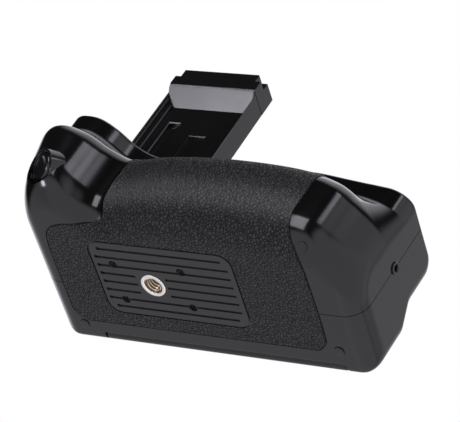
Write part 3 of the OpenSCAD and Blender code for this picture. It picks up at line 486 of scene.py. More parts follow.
def half_housing(name, path):
    xs = LEFT_XS + [x for x in MIDDLE_XS if LEFT_XS[-1] < x < RIGHT_XS[0]] + RIGHT_XS
    rings = [[placed(x, p) for p in path(x)] for x in xs]
    n = len(rings[0])
    points = [p for ring in rings for p in ring]
    faces = []
    for i in range(len(rings) - 1):
        for j in range(n):
            k = (j + 1) % n
            faces.append((i * n + j, i * n + k, (i + 1) * n + k, (i + 1) * n + j))
    last = (len(rings) - 1) * n
    faces += [tuple(range(n))[::-1], tuple(range(last, last + n))]
    return mesh_object(name, points, faces, SHELL)


# Rubber outline: distance along the section from the rear edge of the base, left edge, right edge
COVER_START, COVER_FOLD, COVER_REST = 21.9, 49.2, 45.0
LEFT_EDGE = [
    (0, -35.5), (1.5, -38.6), (5, -40.7), (18, -40.8), (34, -40.6), (38.3, -40.1), (42.1, -39.1),
    (44, -37.8), (45.4, -35.6), (46.9, -30.7), (47.5, -24.5), (47.9, -18.4), (49.2, -15.7), (50.7, -15.2),
    (52.5, -15.4), (57.3, -16.6), (67.2, -17.7), (94.2, -17.2),
]
RIGHT_EDGE = [
    (0, 61.4), (1.5, 63.6), (5, 65.9), (18, 66.2), (34, 66), (38.3, 65.8), (42.1, 65.2), (44, 64.6),
    (45.4, 64.1), (46.9, 63.6), (47.5, 63.3), (47.9, 63.1), (49.2, 62.5), (55.5, 60.6), (62.7, 59.6),
    (76.2, 59.7), (94.2, 61),
]
FOLD_LOW, FOLD_HIGH, FOLD_STEP = 44.0, 50.5, 0.1


def smooth_run(table, v):
    """Value of a table at v, without overshoot."""
    v = min(max(v, table[0][0]), table[-1][0])
    k = max(i for i in range(len(table) - 1) if v >= table[i][0])
    steps = [(b[1] - a[1]) / (b[0] - a[0]) for a, b in zip(table, table[1:])]

    def tangent(i):
        if i in (0, len(table) - 1):
            return steps[min(i, len(steps) - 1)]
        a, b = steps[i - 1], steps[i]
        return 0.0 if a * b <= 0 else 2 * a * b / (a + b)

    w = table[k + 1][0] - table[k][0]
    t = (v - table[k][0]) / w
    u = 1 - t
    return ((1 + 2 * t) * u * u * table[k][1] + t * u * u * w * tangent(k)
            + t * t * (3 - 2 * t) * table[k + 1][1] - t * t * u * w * tangent(k + 1))


def cover_run(x):
    """Section that the rubber follows, with the length up to each point."""
    base, _, foot, crest, valley, _ = front_corners(x)
    run = joined([(COVER_START, base, 0, -1)], 2, foot, 2, crest, 2, valley[:1])
    lengths = [0.0]
    for p, q in zip(run, run[1:]):
        lengths.append(lengths[-1] + math.hypot(q[0] - p[0], q[1] - p[1]))
    return run, lengths


RUNS = {}


def cover_point(x, v, out):
    key = round(x, 3)
    if key not in RUNS:
        RUNS[key] = cover_run(x)
    run, lengths = RUNS[key]
    s = v if v <= COVER_FOLD else COVER_FOLD + (v - COVER_FOLD) / COVER_REST * (lengths[-1] - COVER_FOLD)
    s = min(max(s, 0.0), lengths[-1])
    k = max(i for i in range(len(lengths) - 1) if s >= lengths[i])
    t = (s - lengths[k]) / (lengths[k + 1] - lengths[k])
    return placed(x, tuple(run[k][i] + (run[k + 1][i] - run[k][i]) * t for i in range(4)), out)


def eased(count, length, fine):
    """Places from 0 to length, even but for the fine distances at both ends."""
    inner = [fine[-1] + (length - 2 * fine[-1]) * k / count for k in range(1, count)]
    return list(fine) + inner + [length - d for d in reversed(fine)]


EDGE_STEPS = (0.0, 0.06, 0.16, 0.3, 0.5, 0.8)
EDGE_ROUND, EDGE_DROP, COVER_PROUD, COVER_BED = 0.55, 0.85, 0.4, 1.0
COVER_END = COVER_FOLD + COVER_REST
ROW_COUNT, COLUMN_COUNT, SLOPE_STEP = 130, 100, 0.05


def fold_fine(places):
    """The places with finer ones where the left edge runs along the fold."""
    extra = [FOLD_LOW + FOLD_STEP * k for k in range(int((FOLD_HIGH - FOLD_LOW) / FOLD_STEP) + 1)]
    return [p for p in places if not FOLD_LOW - FOLD_STEP < p < FOLD_HIGH + FOLD_STEP] + extra


def edge_slope(table, v):
    return (smooth_run(table, v + SLOPE_STEP) - smooth_run(table, v - SLOPE_STEP)) / (2 * SLOPE_STEP)


def rubber_piece():
    vs = sorted(fold_fine(eased(ROW_COUNT, COVER_END, EDGE_STEPS)))
    outer, inner = [], []
    width = COLUMN_COUNT - 1 + 2 * len(EDGE_STEPS)
    for v in vs:
        left, right = smooth_run(LEFT_EDGE, v), smooth_run(RIGHT_EDGE, v)
        lean_l = math.hypot(1, edge_slope(LEFT_EDGE, v))
        lean_r = math.hypot(1, edge_slope(RIGHT_EDGE, v))
        for d in eased(COLUMN_COUNT, right - left, EDGE_STEPS):
            near = min(d / lean_l, (right - left - d) / lean_r, v, COVER_END - v)
            t = max(0.0, 1 - near / EDGE_ROUND)
            out = COVER_PROUD - EDGE_DROP * (1 - math.sqrt(1 - t * t))
            outer.append(cover_point(left + d, v, out))
            inner.append(cover_point(left + d, v, -COVER_BED))
    rows, half = len(vs), len(outer)
    faces = []
    for j in range(rows - 1):
        for i in range(width - 1):
            a, b, c, d = j * width + i, (j + 1) * width + i, (j + 1) * width + i + 1, j * width + i + 1
            faces += [(a, b, c, d), (half + d, half + c, half + b, half + a)]
    rim = list(range(width)) + [j * width + width - 1 for j in range(1, rows)]
    rim += [(rows - 1) * width + i for i in range(width - 2, -1, -1)]
    rim += [j * width for j in range(rows - 2, 0, -1)]
    for a, b in zip(rim, rim[1:] + rim[:1]):
        faces.append((a, b, half + b, half + a))
    return mesh_object("rubber_grip", outer + inner, faces, RUBBER)


GROOVE_WIDTH, GROOVE_INSIDE, GROOVE_DEPTH, GROOVE_OUT = 0.3, 0.05, 0.9, 1.0
GROOVE_SIDE_STEPS, GROOVE_END_STEPS = 150, 60


def groove_tool(name):
    """Narrow channel round the rubber."""
    steps, ends = GROOVE_SIDE_STEPS, GROOVE_END_STEPS
    ring = []
    for v in sorted(fold_fine([COVER_END * k / steps for k in range(steps)])):
        ring.append((smooth_run(LEFT_EDGE, v), v))
    top = (smooth_run(LEFT_EDGE, COVER_END), smooth_run(RIGHT_EDGE, COVER_END))
    ring += [(top[0] + (top[1] - top[0]) * k / ends, COVER_END) for k in range(ends)]
    for k in range(steps):
        v = COVER_END * (1 - k / steps)
        ring.append((smooth_run(RIGHT_EDGE, v), v))
    low = (smooth_run(RIGHT_EDGE, 0), smooth_run(LEFT_EDGE, 0))
    ring += [(low[0] + (low[1] - low[0]) * k / ends, 0.0) for k in range(ends)]
    n = len(ring)
    points, faces = [], []
    for k in range(n):
        p, q = ring[k - 1], ring[(k + 1) % n]
        t = unit((q[0] - p[0], q[1] - p[1]))
        x, v = ring[k]
        wide = (x - t[1] * GROOVE_WIDTH, v + t[0] * GROOVE_WIDTH)
        tight = (x + t[1] * GROOVE_INSIDE, v - t[0] * GROOVE_INSIDE)
        corners = ((tight, -GROOVE_DEPTH), (wide, -GROOVE_DEPTH), (wide, GROOVE_OUT), (tight, GROOVE_OUT))
        for (px, pv), out in corners:
            run_v = min(max(pv, 0.0), COVER_END)
            place = list(cover_point(px, run_v, out))
            if pv < 0:
                place[1] -= pv
            points.append(tuple(place))
    for k in range(n):
        for j in range(4):
            a, b = k * 4 + j, k * 4 + (j + 1) % 4
            c, d = ((k + 1) % n) * 4 + (j + 1) % 4, ((k + 1) % n) * 4 + j
            faces.append((a, b, c, d))
    return mesh_object(name, points, faces, smooth=False)


# Places shared with the solids
PLATE_X, PLATE_Y, PLATE_L, PLATE_W, PLATE_R, PLATE_T = 7.0, -1.7, 59.0, 33.4, 5.0, 2.6
BASE_SPOTS = {0: (69.6, 21.1), 2: (-38.0, 24.2)}
ROUND_SCREW_X, ROUND_SCREW_STEP = 66.3, 8
PLATE_SCREWS = [(x, y, 0.7) for y in (-8.4, 8.4) for x in (-14.2, 14.2)]
BUTTON_SPOT, BUTTON_AXIS, BEZEL_SINK = (-39.9, -43.0, 10.4), Vector((-0.47, -0.66, -0.585)), 1.3
BUTTON_R, BEZEL_R, BEZEL_DEPTH = 5.5, 6.88, 6.0
JACK_X, JACK_Z, JACK_R, JACK_SEAT = 84.3, 27.4, 2.4, 2.4
BUSH_R, BUSH_L, SEAT_GAP = 5.1, 6.2, 0.02
WHEEL, WHEEL_ROOM = (26.0, 6.5), (20.7, 40.0, 45.2)
CASE_RECESS, CASE_HEAD_DEPTH = (2.0, 3.0), 2.1
BAYS = ((-21.9, -26.4, 7.0), (61.9, REAR + 1, 25.2))
LOCK_ROOM = ((-40.0, 18.0, 35.5), (-29.0, 24.2, 40.5))
LOCK_WINDOW = ((-38.7, 23.2, 36.3), (-30.3, 26.3, 39.7))
DECK_LEFT, DECK_RUN, DECK_STEPS, DECK_WALL, DECK_REAR, DECK_DEPTH = 4, 125, 24, 2, 6, 2.4
SHELL_CREASE, SHELL_WEIGHT, RUBBER_CREASE, WINDOW_GAP = 32, 40, 45, 0.65


def low_point(x, step):
    return Vector(placed(x, front_corners(x)[2][step]))


def turn_to(way):
    """Turn that carries Z to a way."""
    return Matrix.Rotation(math.atan2(way.y, way.x), 4, "Z") @ Matrix.Rotation(math.acos(way.z), 4, "Y")


def case_frame(k):
    """Frame of a base screw, Z into the housing."""
    if k in BASE_SPOTS:
        return at((*BASE_SPOTS[k], SHELL_BASE))
    x, step = ROUND_SCREW_X, ROUND_SCREW_STEP
    along = low_point(x + 0.1, step) - low_point(x - 0.1, step)
    up = low_point(x, step + 1) - low_point(x, step - 1)
    return at(low_point(x, step), turn_to(up.cross(along).normalized()))


def bezel_frame():
    return at(BUTTON_SPOT, turn_to(BUTTON_AXIS.normalized())) @ Matrix.Translation((0, 0, -BEZEL_SINK * MM))


def x_frame(x, y, z):
    return at((x, y, z), Matrix.Rotation(math.radians(90), 4, "Y"))


def rod(name, matrix, r, low, high, steps=64):
    return turned(name, [(0, low), (r, low), (r, high), (0, high)], matrix, steps=steps, closed=False)


def deck_tool(name):
    xs = [X_LEFT + DECK_LEFT + DECK_RUN * k / DECK_STEPS for k in range(DECK_STEPS + 1)]
    front = [(x, -(station(x, 3) - drawn_in(x, SIDE_ROUND, SIDE_ROUND) - DECK_WALL)) for x in xs]
    rear = [(x, UPPER_REAR - DECK_REAR) for x in (xs[-1], xs[0])]
    return prism(name, front + rear, RIM - DECK_DEPTH, RIM + 1)


def shared_tools():
    recess_r, recess_depth = CASE_RECESS
    tools = [prism("t_plate", rounded(PLATE_L, PLATE_W, PLATE_R, PLATE_X, PLATE_Y), -1, PLATE_T),
             groove_tool("t_groove"), deck_tool("t_deck"),
             rod("t_jack", x_frame(JACK_X, PART_Y, JACK_Z), JACK_R + SEAT_GAP, -JACK_SEAT, 3),
             rod("t_bush", at((0, 0, 0)), BUSH_R + SEAT_GAP, -1, BUSH_L + SEAT_GAP),
             rod("t_wheel", at((*WHEEL, 0)), *WHEEL_ROOM, 128), box("t_bays", *BAYS)]
    return tools + [rod("t_case", case_frame(k), recess_r, -3, recess_depth) for k in range(3)]


DOOR_LEFT, DOOR_RIGHT, DOOR_GAP, DOOR_FACE, DOOR_T = -30.0, 70.0, 0.3, 31.7, 2.2
HINGE_Y, HINGE_Z, BARREL_R = 29.6, 2.7, 2.1
SLOPE_RUN = (REAR - UPPER_REAR) / (SLOPE_HIGH - SLOPE_LOW)
DOOR_TOP, DOOR_REACH, BARREL_GAP = 27.4, 8, 0.3
GROOVE_FRONT, GROOVE_LIP = 27.8, 0.5
SLANT_IN, SLANT_OUT, SLANT_HIGH = 0.2, 1.3, 3.2
KEEPER = ((DOOR_RIGHT, 30.0, 12.3), (DOOR_RIGHT + 3.5, 31.15, 15.7))


def door_tool(name):
    size = math.hypot(1, SLOPE_RUN)
    out, along = (1 / size, SLOPE_RUN / size), (-SLOPE_RUN / size, 1 / size)
    room = DOOR_T + DOOR_GAP
    back = DOOR_FACE - DOOR_T - DOOR_GAP
    top = DOOR_FACE - SLOPE_RUN * (DOOR_TOP - SLOPE_LOW)
    edge = (top + DOOR_GAP * along[0], DOOR_TOP + DOOR_GAP * along[1])
    far = (edge[0] + DOOR_REACH * out[0], edge[1] + DOOR_REACH * out[1])
    outline = [(back, -1), (back, SLOPE_LOW + (DOOR_FACE - back - room * size) / SLOPE_RUN),
               (edge[0] - room * out[0], edge[1] - room * out[1]), far, (far[0], -1)]
    return prism(name, outline, DOOR_LEFT - DOOR_GAP, DOOR_RIGHT + DOOR_GAP, axis=0)


def sill_tools():
    """Groove in front of the hinge, with a rounded lip, and the slanted end of the door's sill."""
    lip = arc(GROOVE_FRONT - GROOVE_LIP, SHELL_BASE + GROOVE_LIP, GROOVE_LIP, -90, 0, 6)
    run = [(GROOVE_FRONT - GROOVE_LIP, -1)] + lip
    run += [(GROOVE_FRONT, HINGE_Z), (HINGE_Y, HINGE_Z), (HINGE_Y, -1)]
    end, back = DOOR_RIGHT + DOOR_GAP, REAR + 0.5
    slant = [(end - SLANT_IN, GROOVE_FRONT), (end, GROOVE_FRONT),
             (end + SLANT_OUT, back), (end - SLANT_IN, back)]
    return [prism("t_sill", run, DOOR_LEFT - DOOR_GAP, end, axis=0),
            prism("t_slant", slant, -1, SLANT_HIGH)]


front = half_housing("front_housing", front_path)
carve(front, shared_tools() + [rod("t_bezel", bezel_frame(), BEZEL_R, -BEZEL_DEPTH, 20, 96)])
rear = half_housing("rear_housing", rear_path)
carve(rear, shared_tools() + [
    door_tool("t_door"),
    rod("t_barrel", x_frame(0, HINGE_Y, HINGE_Z), BARREL_R + BARREL_GAP,
        DOOR_LEFT - DOOR_GAP, DOOR_RIGHT + DOOR_GAP),
    box("t_keeper", *KEEPER), box("t_lock_room", *LOCK_ROOM), box("t_lock_window", *LOCK_WINDOW),
] + sill_tools())
for shell, name in ((front, "front_shell"), (rear, "rear_shell")):
    sharpen(shell, SHELL_CREASE)
    even = shell.modifiers.new("even", "WEIGHTED_NORMAL")
    even.keep_sharp = True
    even.weight = SHELL_WEIGHT
    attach(shell, "housing")
    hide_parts(name)

rubber = rubber_piece()
window = rounded(PLATE_L + 2 * WINDOW_GAP, PLATE_W + 2 * WINDOW_GAP, PLATE_R + WINDOW_GAP, PLATE_X, PLATE_Y)
carve(rubber, [prism("t_window", window, -3, 3.2)])
sharpen(rubber, RUBBER_CREASE)
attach(rubber, "housing")
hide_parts("rubber_cover")

# Bush with its thread
THREAD_R, THREAD_DEPTH, PITCH, THREAD_START, THREAD_WALL = 3.175, 0.55, 1.27, 0.35, 0.4
THREAD_FLAT, RUN_IN_ROWS, THREAD_CREASE = 1.15, 6, 40
# Thread tones: painted shade in the root and on the flanks, the metal's own bright tone on the crest
FLANK_PAINTED_SHADE, CREST, CREST_SHARE, THREAD_ROUGH = (0.16, 0.10, 0.06), (0.92, 0.84, 0.70), (0.30, 0.38), 0.34


def thread_metal(name):
    """Metal that is bright on the crest of the thread, with painted shade: dull dark brown in the root and
    on the flanks.
    """
    made, tree, shader = new_material(name)
    shader.inputs["Metallic"].default_value = 1.0
    shader.inputs["Roughness"].default_value = THREAD_ROUGH
    parts = tree.nodes.new("ShaderNodeSeparateXYZ")
    tree.links.new(tree.nodes.new("ShaderNodeTexCoord").outputs["Object"], parts.inputs[0])
    around = combined(tree, "ARCTAN2", parts.outputs["Y"], parts.outputs["X"])
    turned_by = combined(tree, "MULTIPLY", around, 0.5 / math.pi)
    risen = combined(tree, "MULTIPLY", parts.outputs["Z"], 1 / (PITCH * MM))
    tooth = combined(tree, "PINGPONG", combined(tree, "SUBTRACT", risen, turned_by), 0.5)
    low, high = CREST_SHARE
    # Painted shade: dark brown in the root and on the flanks, bright on the crest
    tree.links.new(ramp(tree, tooth, [(low, FLANK_PAINTED_SHADE), (high, CREST)]), shader.inputs["Base Color"])
    return made


def bush_thread():
    turns, rows = 72, 90
    circle = [(math.cos(2 * math.pi * k / turns), math.sin(2 * math.pi * k / turns)) for k in range(turns)]
    points, faces = [], []
    for j in range(rows + 1):
        z = THREAD_START + (BUSH_L - THREAD_START) * j / rows
        for k, (x, y) in enumerate(circle):
            phase = (z / PITCH - k / turns) % 1
            tooth = 1 - abs(2 * phase - 1)
            r = THREAD_R - THREAD_DEPTH * min(1.0, THREAD_FLAT * tooth) * min(1.0, j / RUN_IN_ROWS)
            points.append((r * x, r * y, z))
    for j in range(rows):
        for k in range(turns):
            a, b = j * turns + k, j * turns + (k + 1) % turns
            faces.append((a, b, b + turns, a + turns))
    wall = THREAD_R + THREAD_WALL
    low = len(points)
    high = low + turns
    for z in (THREAD_START, BUSH_L):
        points += [(wall * x, wall * y, z) for x, y in circle]
    for k in range(turns):
        n = (k + 1) % turns
        faces += [(low + k, low + n, n, k), (rows * turns + k, rows * turns + n, high + n, high + k),
                  (low + k, high + k, high + n, low + n)]
    made = mesh_object("bush_thread", points, faces, thread_metal("bush_thread"))
    sharpen(made, THREAD_CREASE)
    return made


sleeve_wall = [(THREAD_R + 0.38, 0.5), (THREAD_R + 0.38, BUSH_L), (BUSH_R, BUSH_L), (BUSH_R, 0.3)]
sleeve_face = [(BUSH_R - 0.08, 0.1), (BUSH_R - 0.3, 0.0), (THREAD_R + 0.62, 0.0), (THREAD_R + 0.48, 0.08)]
bush = turned("bush_sleeve", sleeve_wall + sleeve_face, material=BUSH, steps=96)
thread = bush_thread()
for piece in (bush, thread):
    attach(piece, "housing")
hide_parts("tripod_bush")

# Cross-head screws: radius and height of the head, radius and length of the shank
PLATE_SCREW, CASE_SCREW = (1.68, 1.2, 0.9, 4.2), (1.7, 0.9, 1.0, 7.0)
HEAD_EDGE, HEAD_BREAK, SCREW_CREASE = 0.18, 0.05, 35
CROSS, CROSS_TURN, CROSS_DEPTH = 1.15, 28, 0.8


def cross_screw(name, cad, matrix, head_r, head_h, shank_r, shank_l):
    """Screw with its head's face at z = 0, going in along +Z."""
    head = [(0, 0), (head_r - HEAD_EDGE, 0), (head_r - HEAD_BREAK, HEAD_BREAK),
            (head_r, HEAD_EDGE), (head_r, head_h)]
    shank = [(shank_r, head_h), (shank_r, head_h + shank_l), (0, head_h + shank_l)]
    made = turned(name, head + shank, material=BLACK_STEEL, closed=False)
    far, wide, deep = CROSS, CROSS * 0.2, min(head_h * 0.75, CROSS_DEPTH)
    outline = [(wide, far), (-wide, far), (-wide, wide), (-far, wide), (-far, -wide), (-wide, -wide),
               (-wide, -far), (wide, -far), (wide, -wide), (far, -wide), (far, wide), (wide, wide)]
    tool = prism("t_cross", outline, -1, deep)
    tool.data.transform(Matrix.Rotation(math.radians(CROSS_TURN), 4, "Z"))
    carve(made, [tool])
    made.data.transform(matrix)
    sharpen(made, SCREW_CREASE)
    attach(made, "housing")
    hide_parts(cad)


for k, place in enumerate(PLATE_SCREWS):
    cross_screw("plate_screw_head_%d" % (k + 1), "plate_screw_%d" % (k + 1), at(place), *PLATE_SCREW)
for k in range(3):
    matrix = case_frame(k) @ Matrix.Translation((0, 0, CASE_HEAD_DEPTH * MM))
    cross_screw("case_screw_head_%d" % (k + 1), "case_screw_%d" % (k + 1), matrix, *CASE_SCREW)

# Low round covers over the base screws
COVER_R, COVER_EDGE, COVER_DEEP = 1.96, 0.12, 1.6
COVER_UPS = (0.39, 0.65, 0.39)
for k, height in enumerate(COVER_UPS):
    crown = arc(COVER_R - COVER_EDGE, COVER_EDGE - height, COVER_EDGE, -90, 0, 6)
    profile = [(0, -height)] + crown + [(COVER_R, COVER_DEEP), (0, COVER_DEEP)]
    plug = turned("screw_cover_%d" % (k + 1), profile, case_frame(k), SHELL, closed=False)
    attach(plug, "housing")

# Shutter button in its bezel
DISH_R, DISH_DEPTH, DISH_EDGE, DISH_STEPS = 9.0, 1.0, 4.0, 12
BUTTON_PROUD, BUTTON_ROUND, BEZEL_ROUND, LIP = 0.7, 1.5, 0.35, 3.0
FLANGE_R, FLANGE_HIGH, FLANGE_LOW = BUTTON_R + 0.7, -LIP - 0.05, -LIP - 1.05
SOCKET_R = BUTTON_R + 0.9
radii = [DISH_EDGE * k / DISH_STEPS for k in range(DISH_STEPS + 1)]
dish = [(r, BUTTON_PROUD - DISH_DEPTH + DISH_R - math.sqrt(DISH_R ** 2 - r ** 2)) for r in radii]
brim = arc(BUTTON_R - BUTTON_ROUND, BUTTON_PROUD - BUTTON_ROUND, BUTTON_ROUND, 80, 0, 12)
flange = [(BUTTON_R, FLANGE_HIGH), (FLANGE_R, FLANGE_HIGH), (FLANGE_R, FLANGE_LOW), (0, FLANGE_LOW)]
button = turned("release_button", dish + brim + flange, bezel_frame(), BUTTON, 96, closed=False)
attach(button, "shutter")
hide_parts("shutter_button")
ring = arc(BEZEL_R - BEZEL_ROUND, -BEZEL_ROUND, BEZEL_ROUND, 0, 90, 6)
ring += arc(BUTTON_R + 0.5, -BEZEL_ROUND, BEZEL_ROUND, 90, 180, 6)
socket = [(BUTTON_R + 0.1, -LIP), (SOCKET_R, -LIP), (SOCKET_R, -BEZEL_DEPTH), (BEZEL_R, -BEZEL_DEPTH)]
bezel = turned("release_bezel", ring + socket, bezel_frame(), BUTTON, 96)
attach(bezel, "housing")
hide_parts("shutter_bezel")

# Remote jack: moulded ring with a metal sleeve in it
jack_frame = x_frame(JACK_X, PART_Y, JACK_Z)
mouth = [(1.55, -10.5), (1.55, -0.2), (1.75, 0.0)] + arc(JACK_R - 0.3, -0.3, 0.3, 90, 0, 6)
body = [(JACK_R, -JACK_SEAT), (3.4, -JACK_SEAT), (3.4, -13.4), (1.0, -13.4), (1.0, -10.5)]
jack = turned("jack_ring", mouth + body, jack_frame, SHELL)
tube = [(1.28, -10.4), (1.28, -0.35), (1.34, -0.2), (1.5, -0.2), (1.54, -0.3), (1.54, -10.4)]
sleeve = turned("jack_sleeve", tube, jack_frame, BLACK_STEEL)
for piece, slot in ((jack, "satin"), (sleeve, "black_screw")):
    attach(piece, "housing")
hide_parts("remote_jack")

# Tray of the post: stepped side walls, a floor with two pockets and a ramp up to the cap
POST_LEFT, POST_RIGHT, POST_FRONT, POST_BACK, CAP_LOW = -39.2, -1.0, -14.9, -2.9, 96.0
WALL_FRONT, TRAY_FLOOR, RAMP_DROP = -12.6, -8.5, 6.2
RAMP_SLOPE = RAMP_DROP / (TRAY_FLOOR - POST_FRONT)
TRAY_CHAMFER = 0.36
WALL_STEPS = [(0.5, 1.1), (1.0, 2.9), (2.7, TRAY_FLOOR - WALL_FRONT)]
TRAY_POCKETS = [(6.2, 4.6, 15.2, 1.8), (18.7, 6.8, 22.2, 1.0)]


def ramp_z(y):
    return CAP_LOW - RAMP_SLOPE * (y - POST_FRONT)


side_view = [(POST_BACK, RIM), (POST_BACK, CAP_LOW), (POST_FRONT, CAP_LOW),
             (WALL_FRONT, ramp_z(WALL_FRONT)), (WALL_FRONT, RIM)]
tray = prism("tray_body", side_view, POST_LEFT, POST_RIGHT, axis=0)
cuts = []
for inset, depth in WALL_STEPS:
    low = WALL_FRONT + depth
    run = [(WALL_FRONT - 1, RIM - 1), (WALL_FRONT - 1, ramp_z(WALL_FRONT)), (WALL_FRONT, ramp_z(WALL_FRONT)),
           (low, ramp_z(low)), (low, RIM - 1)]
    cuts.append(prism("t_tray", run, POST_LEFT + inset, POST_RIGHT - inset, axis=0))
for side, width, drop, depth in TRAY_POCKETS:
    cuts.append(box("t_pocket", (POST_LEFT + side, TRAY_FLOOR - 1, RIM + 4),
                    (POST_LEFT + side + width, TRAY_FLOOR + depth, CAP_LOW - drop)))
carve(tray, cuts)
tray.data.materials.clear()
tray.data.materials.append(POST)
chamfers(tray, TRAY_CHAMFER)
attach(tray, "housing")
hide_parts("post_tray")

# Solids that keep their shape: finish, and width of the rounded edges
FINISH = {
    "tripod_plate": (PLATE, 0.22), "bush_carrier": (STEEL, 0.15), "top_deck": (SATIN, 0.2),
    "deck_pad": (RUBBER, 0.2), "post_cap": (POST, 0.3), "post_contacts": (BRASS, 0.08),
    "battery_cradle": (SATIN, 0.25), "bay_contacts_1": (BRASS, 0.1), "bay_contacts_2": (BRASS, 0.1),
    "main_board": (BOARD, 0.1), "shutter_switch": (SATIN, 0.2), "lock_switch": (SATIN, 0.2),
    "chassis_plate": (STEEL, 0.15), "door_pin": (STEEL, 0.1), "battery_door": (SHELL, 0.4),
    "door_latch": (SATIN, 0.15), "lock_slider": (SATIN, 0.3), "mounting_wheel": (SATIN, 0.2),
    "mounting_screw": (STEEL, 0.2), "locating_pin_1": (STEEL, 0.1), "locating_pin_2": (STEEL, 0.1),
}
for name, (material, edge) in FINISH.items():
    piece = nodes[name]
    piece.data.materials.clear()
    piece.data.materials.append(material)
    soft_edges(piece, edge)

# Stage: light of the room by the way one looks, each span a stretch of X, Y or Z from none to full
BELOW_TILT, BELOW_SPAN, BELOW_X, BELOW_LEAST, BELOW_MORE = 0.2, (-0.22, -0.45), (-0.56, -0.2), 0.70, 0.24
BEHIND_Y, BEHIND_Z, BEHIND_LEVEL = (0.1, 0.5), (0.95, 0.7), 0.62
ASIDE_X, ASIDE_Z, ASIDE_LEVEL = (0.68, 0.80), (0.68, 0.58), 0.92
OVER_X, OVER_HIGH_Z, OVER_LOW_Z, OVER_LEVEL = (0.61, 0.73), (0.80, 0.68), (0.50, 0.60), 0.8
TOP_Z, TOP_LEVEL, LEAST_LEVEL = (0.80, 0.97), 1.4, 0.02
ROOM_TINT = (0.99, 0.98, 1.05)


def room():
    """World that lights the object by these spans, and that the camera itself sees as white."""
    world = bpy.data.worlds.new("room")
    bpy.context.scene.world = world
    world.use_nodes = True
    tree = world.node_tree
    tree.nodes.clear()
    parts = tree.nodes.new("ShaderNodeSeparateXYZ")
    tree.links.new(tree.nodes.new("ShaderNodeTexCoord").outputs["Generated"], parts.inputs[0])
    x, y, z = (parts.outputs[axis] for axis in "XYZ")

    def share(source, span):
        return smooth_step(tree, source, span)

    def times(a, b):
        return combined(tree, "MULTIPLY", a, b)

    below = share(combined(tree, "SUBTRACT", z, times(x, BELOW_TILT)), BELOW_SPAN)
    toward = combined(tree, "ADD", times(share(x, BELOW_X), BELOW_MORE), BELOW_LEAST)
    behind = times(share(y, BEHIND_Y), share(z, BEHIND_Z))
    aside = times(share(x, ASIDE_X), share(z, ASIDE_Z))
    over = times(share(x, OVER_X), times(share(z, OVER_HIGH_Z), share(z, OVER_LOW_Z)))
    top = share(z, TOP_Z)
    bright = times(below, toward)
    levels = ((behind, BEHIND_LEVEL), (aside, ASIDE_LEVEL), (over, OVER_LEVEL), (top, TOP_LEVEL))
    for part, level in levels:
        bright = combined(tree, "MAXIMUM", bright, times(part, level))
    tinted = tree.nodes.new("ShaderNodeVectorMath")
    tinted.operation = "SCALE"
    tinted.inputs[0].default_value = ROOM_TINT
    tree.links.new(combined(tree, "ADD", bright, LEAST_LEVEL), tinted.inputs["Scale"])
    seen = tree.nodes.new("ShaderNodeVectorMath")
    seen.operation = "MAXIMUM"
    tree.links.new(tinted.outputs["Vector"], seen.inputs[0])
    tree.links.new(tree.nodes.new("ShaderNodeLightPath").outputs["Is Camera Ray"], seen.inputs[1])
    back = tree.nodes.new("ShaderNodeBackground")
    tree.links.new(seen.outputs["Vector"], back.inputs["Color"])
    out = tree.nodes.new("ShaderNodeOutputWorld")
    tree.links.new(back.outputs["Background"], out.inputs["Surface"])


FLOOR_HALF, FLOOR_Z, FLOOR_TONE, FLOOR_ROUGH = 3000, -0.05, (0.86, 0.86, 0.86, 1), 0.9


def floor():
    """Sheet of paper that only the camera sees, and only from above."""
    made, tree, shader = new_material("floor_paper")
    shader.inputs["Base Color"].default_value = FLOOR_TONE
    shader.inputs["Roughness"].default_value = FLOOR_ROUGH
    clear = tree.nodes.new("ShaderNodeBsdfTransparent")
    mix = tree.nodes.new("ShaderNodeMixShader")
    path = tree.nodes.new("ShaderNodeLightPath")
    side = tree.nodes.new("ShaderNodeNewGeometry")
    shown = tree.nodes.new("ShaderNodeMath")
    shown.operation = "SUBTRACT"
    shown.use_clamp = True
    tree.links.new(path.outputs["Is Camera Ray"], shown.inputs[0])
    tree.links.new(side.outputs["Backfacing"], shown.inputs[1])
    tree.links.new(shown.outputs["Value"], mix.inputs["Fac"])
    tree.links.new(clear.outputs["BSDF"], mix.inputs[1])
    tree.links.new(shader.outputs["BSDF"], mix.inputs[2])
    tree.links.new(mix.outputs["Shader"], tree.nodes["Material Output"].inputs["Surface"])
    corners = [(a * FLOOR_HALF, b * FLOOR_HALF, FLOOR_Z) for a, b in ((-1, -1), (1, -1), (1, 1), (-1, 1))]
    ground = mesh_object("floor", corners, [(0, 1, 2, 3)], made, smooth=False)


TARGET, BOX_DISTANCE, SOFT_TINT = Vector((0.015, -0.01, 0.03)), 1.8, (0.97, 0.96, 1.06)


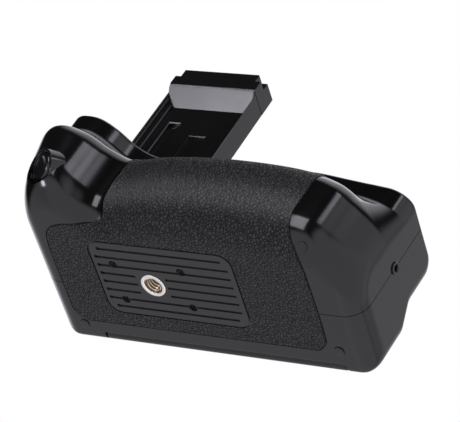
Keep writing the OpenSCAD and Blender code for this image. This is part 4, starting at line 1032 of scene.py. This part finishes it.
def soft_box(name, azimuths, elevations, radiance):
    """Rectangle of light seen from the object between these angles, with this brightness."""
    a, e = math.radians(sum(azimuths) / 2), math.radians(sum(elevations) / 2)
    way = Vector((math.cos(e) * math.cos(a), math.cos(e) * math.sin(a), math.sin(e)))
    width = 2 * BOX_DISTANCE * math.tan(math.radians(azimuths[1] - azimuths[0]) / 2) * math.cos(e)
    height = 2 * BOX_DISTANCE * math.tan(math.radians(elevations[1] - elevations[0]) / 2)
    lamp = bpy.data.lights.new(name, "AREA")
    lamp.shape = "RECTANGLE"
    lamp.size, lamp.size_y = width, height
    lamp.color = SOFT_TINT
    lamp.energy = radiance * math.pi * width * height
    made = bpy.data.objects.new(name, lamp)
    made.location = TARGET + way * BOX_DISTANCE
    made.rotation_euler = way.to_track_quat("Z", "Y").to_euler()
    bpy.context.scene.collection.objects.link(made)


room()
floor()
soft_box("box_front", (-97, -75), (-9, 30), 4.4)
soft_box("box_right", (-40, -23), (36, 45), 0.5)
soft_box("tube_right", (-44, -35), (35, 45), 3.2)
soft_box("box_low", (-136, -122), (-43, -33), 15.5)
soft_box("box_left", (136, 166), (-5, 36), 0.6)
soft_box("fill_top", (80, 160), (45, 80), 0.7)

# Camera of the photograph, solved from the base
FOCAL_PX, FRAME_PX, SENSOR, FAR = 2400.0, 460.0, 36.0, 50.0
CAMERA_SPOT, CAMERA_RIGHT = (0.4492, -0.5187, -0.5188), (0.8627, 0.2604, 0.4335)
CAMERA_UP, CAMERA_BACK = (-0.0889, -0.7658, 0.6369), (0.4978, -0.588, -0.6376)
camera = bpy.data.objects.new("camera", bpy.data.cameras.new("camera"))
camera.data.sensor_width = SENSOR
camera.data.sensor_fit = "HORIZONTAL"
camera.data.lens = FOCAL_PX / FRAME_PX * SENSOR
camera.data.clip_end = FAR
camera_turn = Matrix((CAMERA_RIGHT, CAMERA_UP, CAMERA_BACK)).transposed().to_4x4()
camera.matrix_world = Matrix.Translation(CAMERA_SPOT) @ camera_turn
bpy.context.scene.collection.objects.link(camera)
bpy.context.scene.camera = camera
bpy.context.scene.view_settings.view_transform = "Standard"
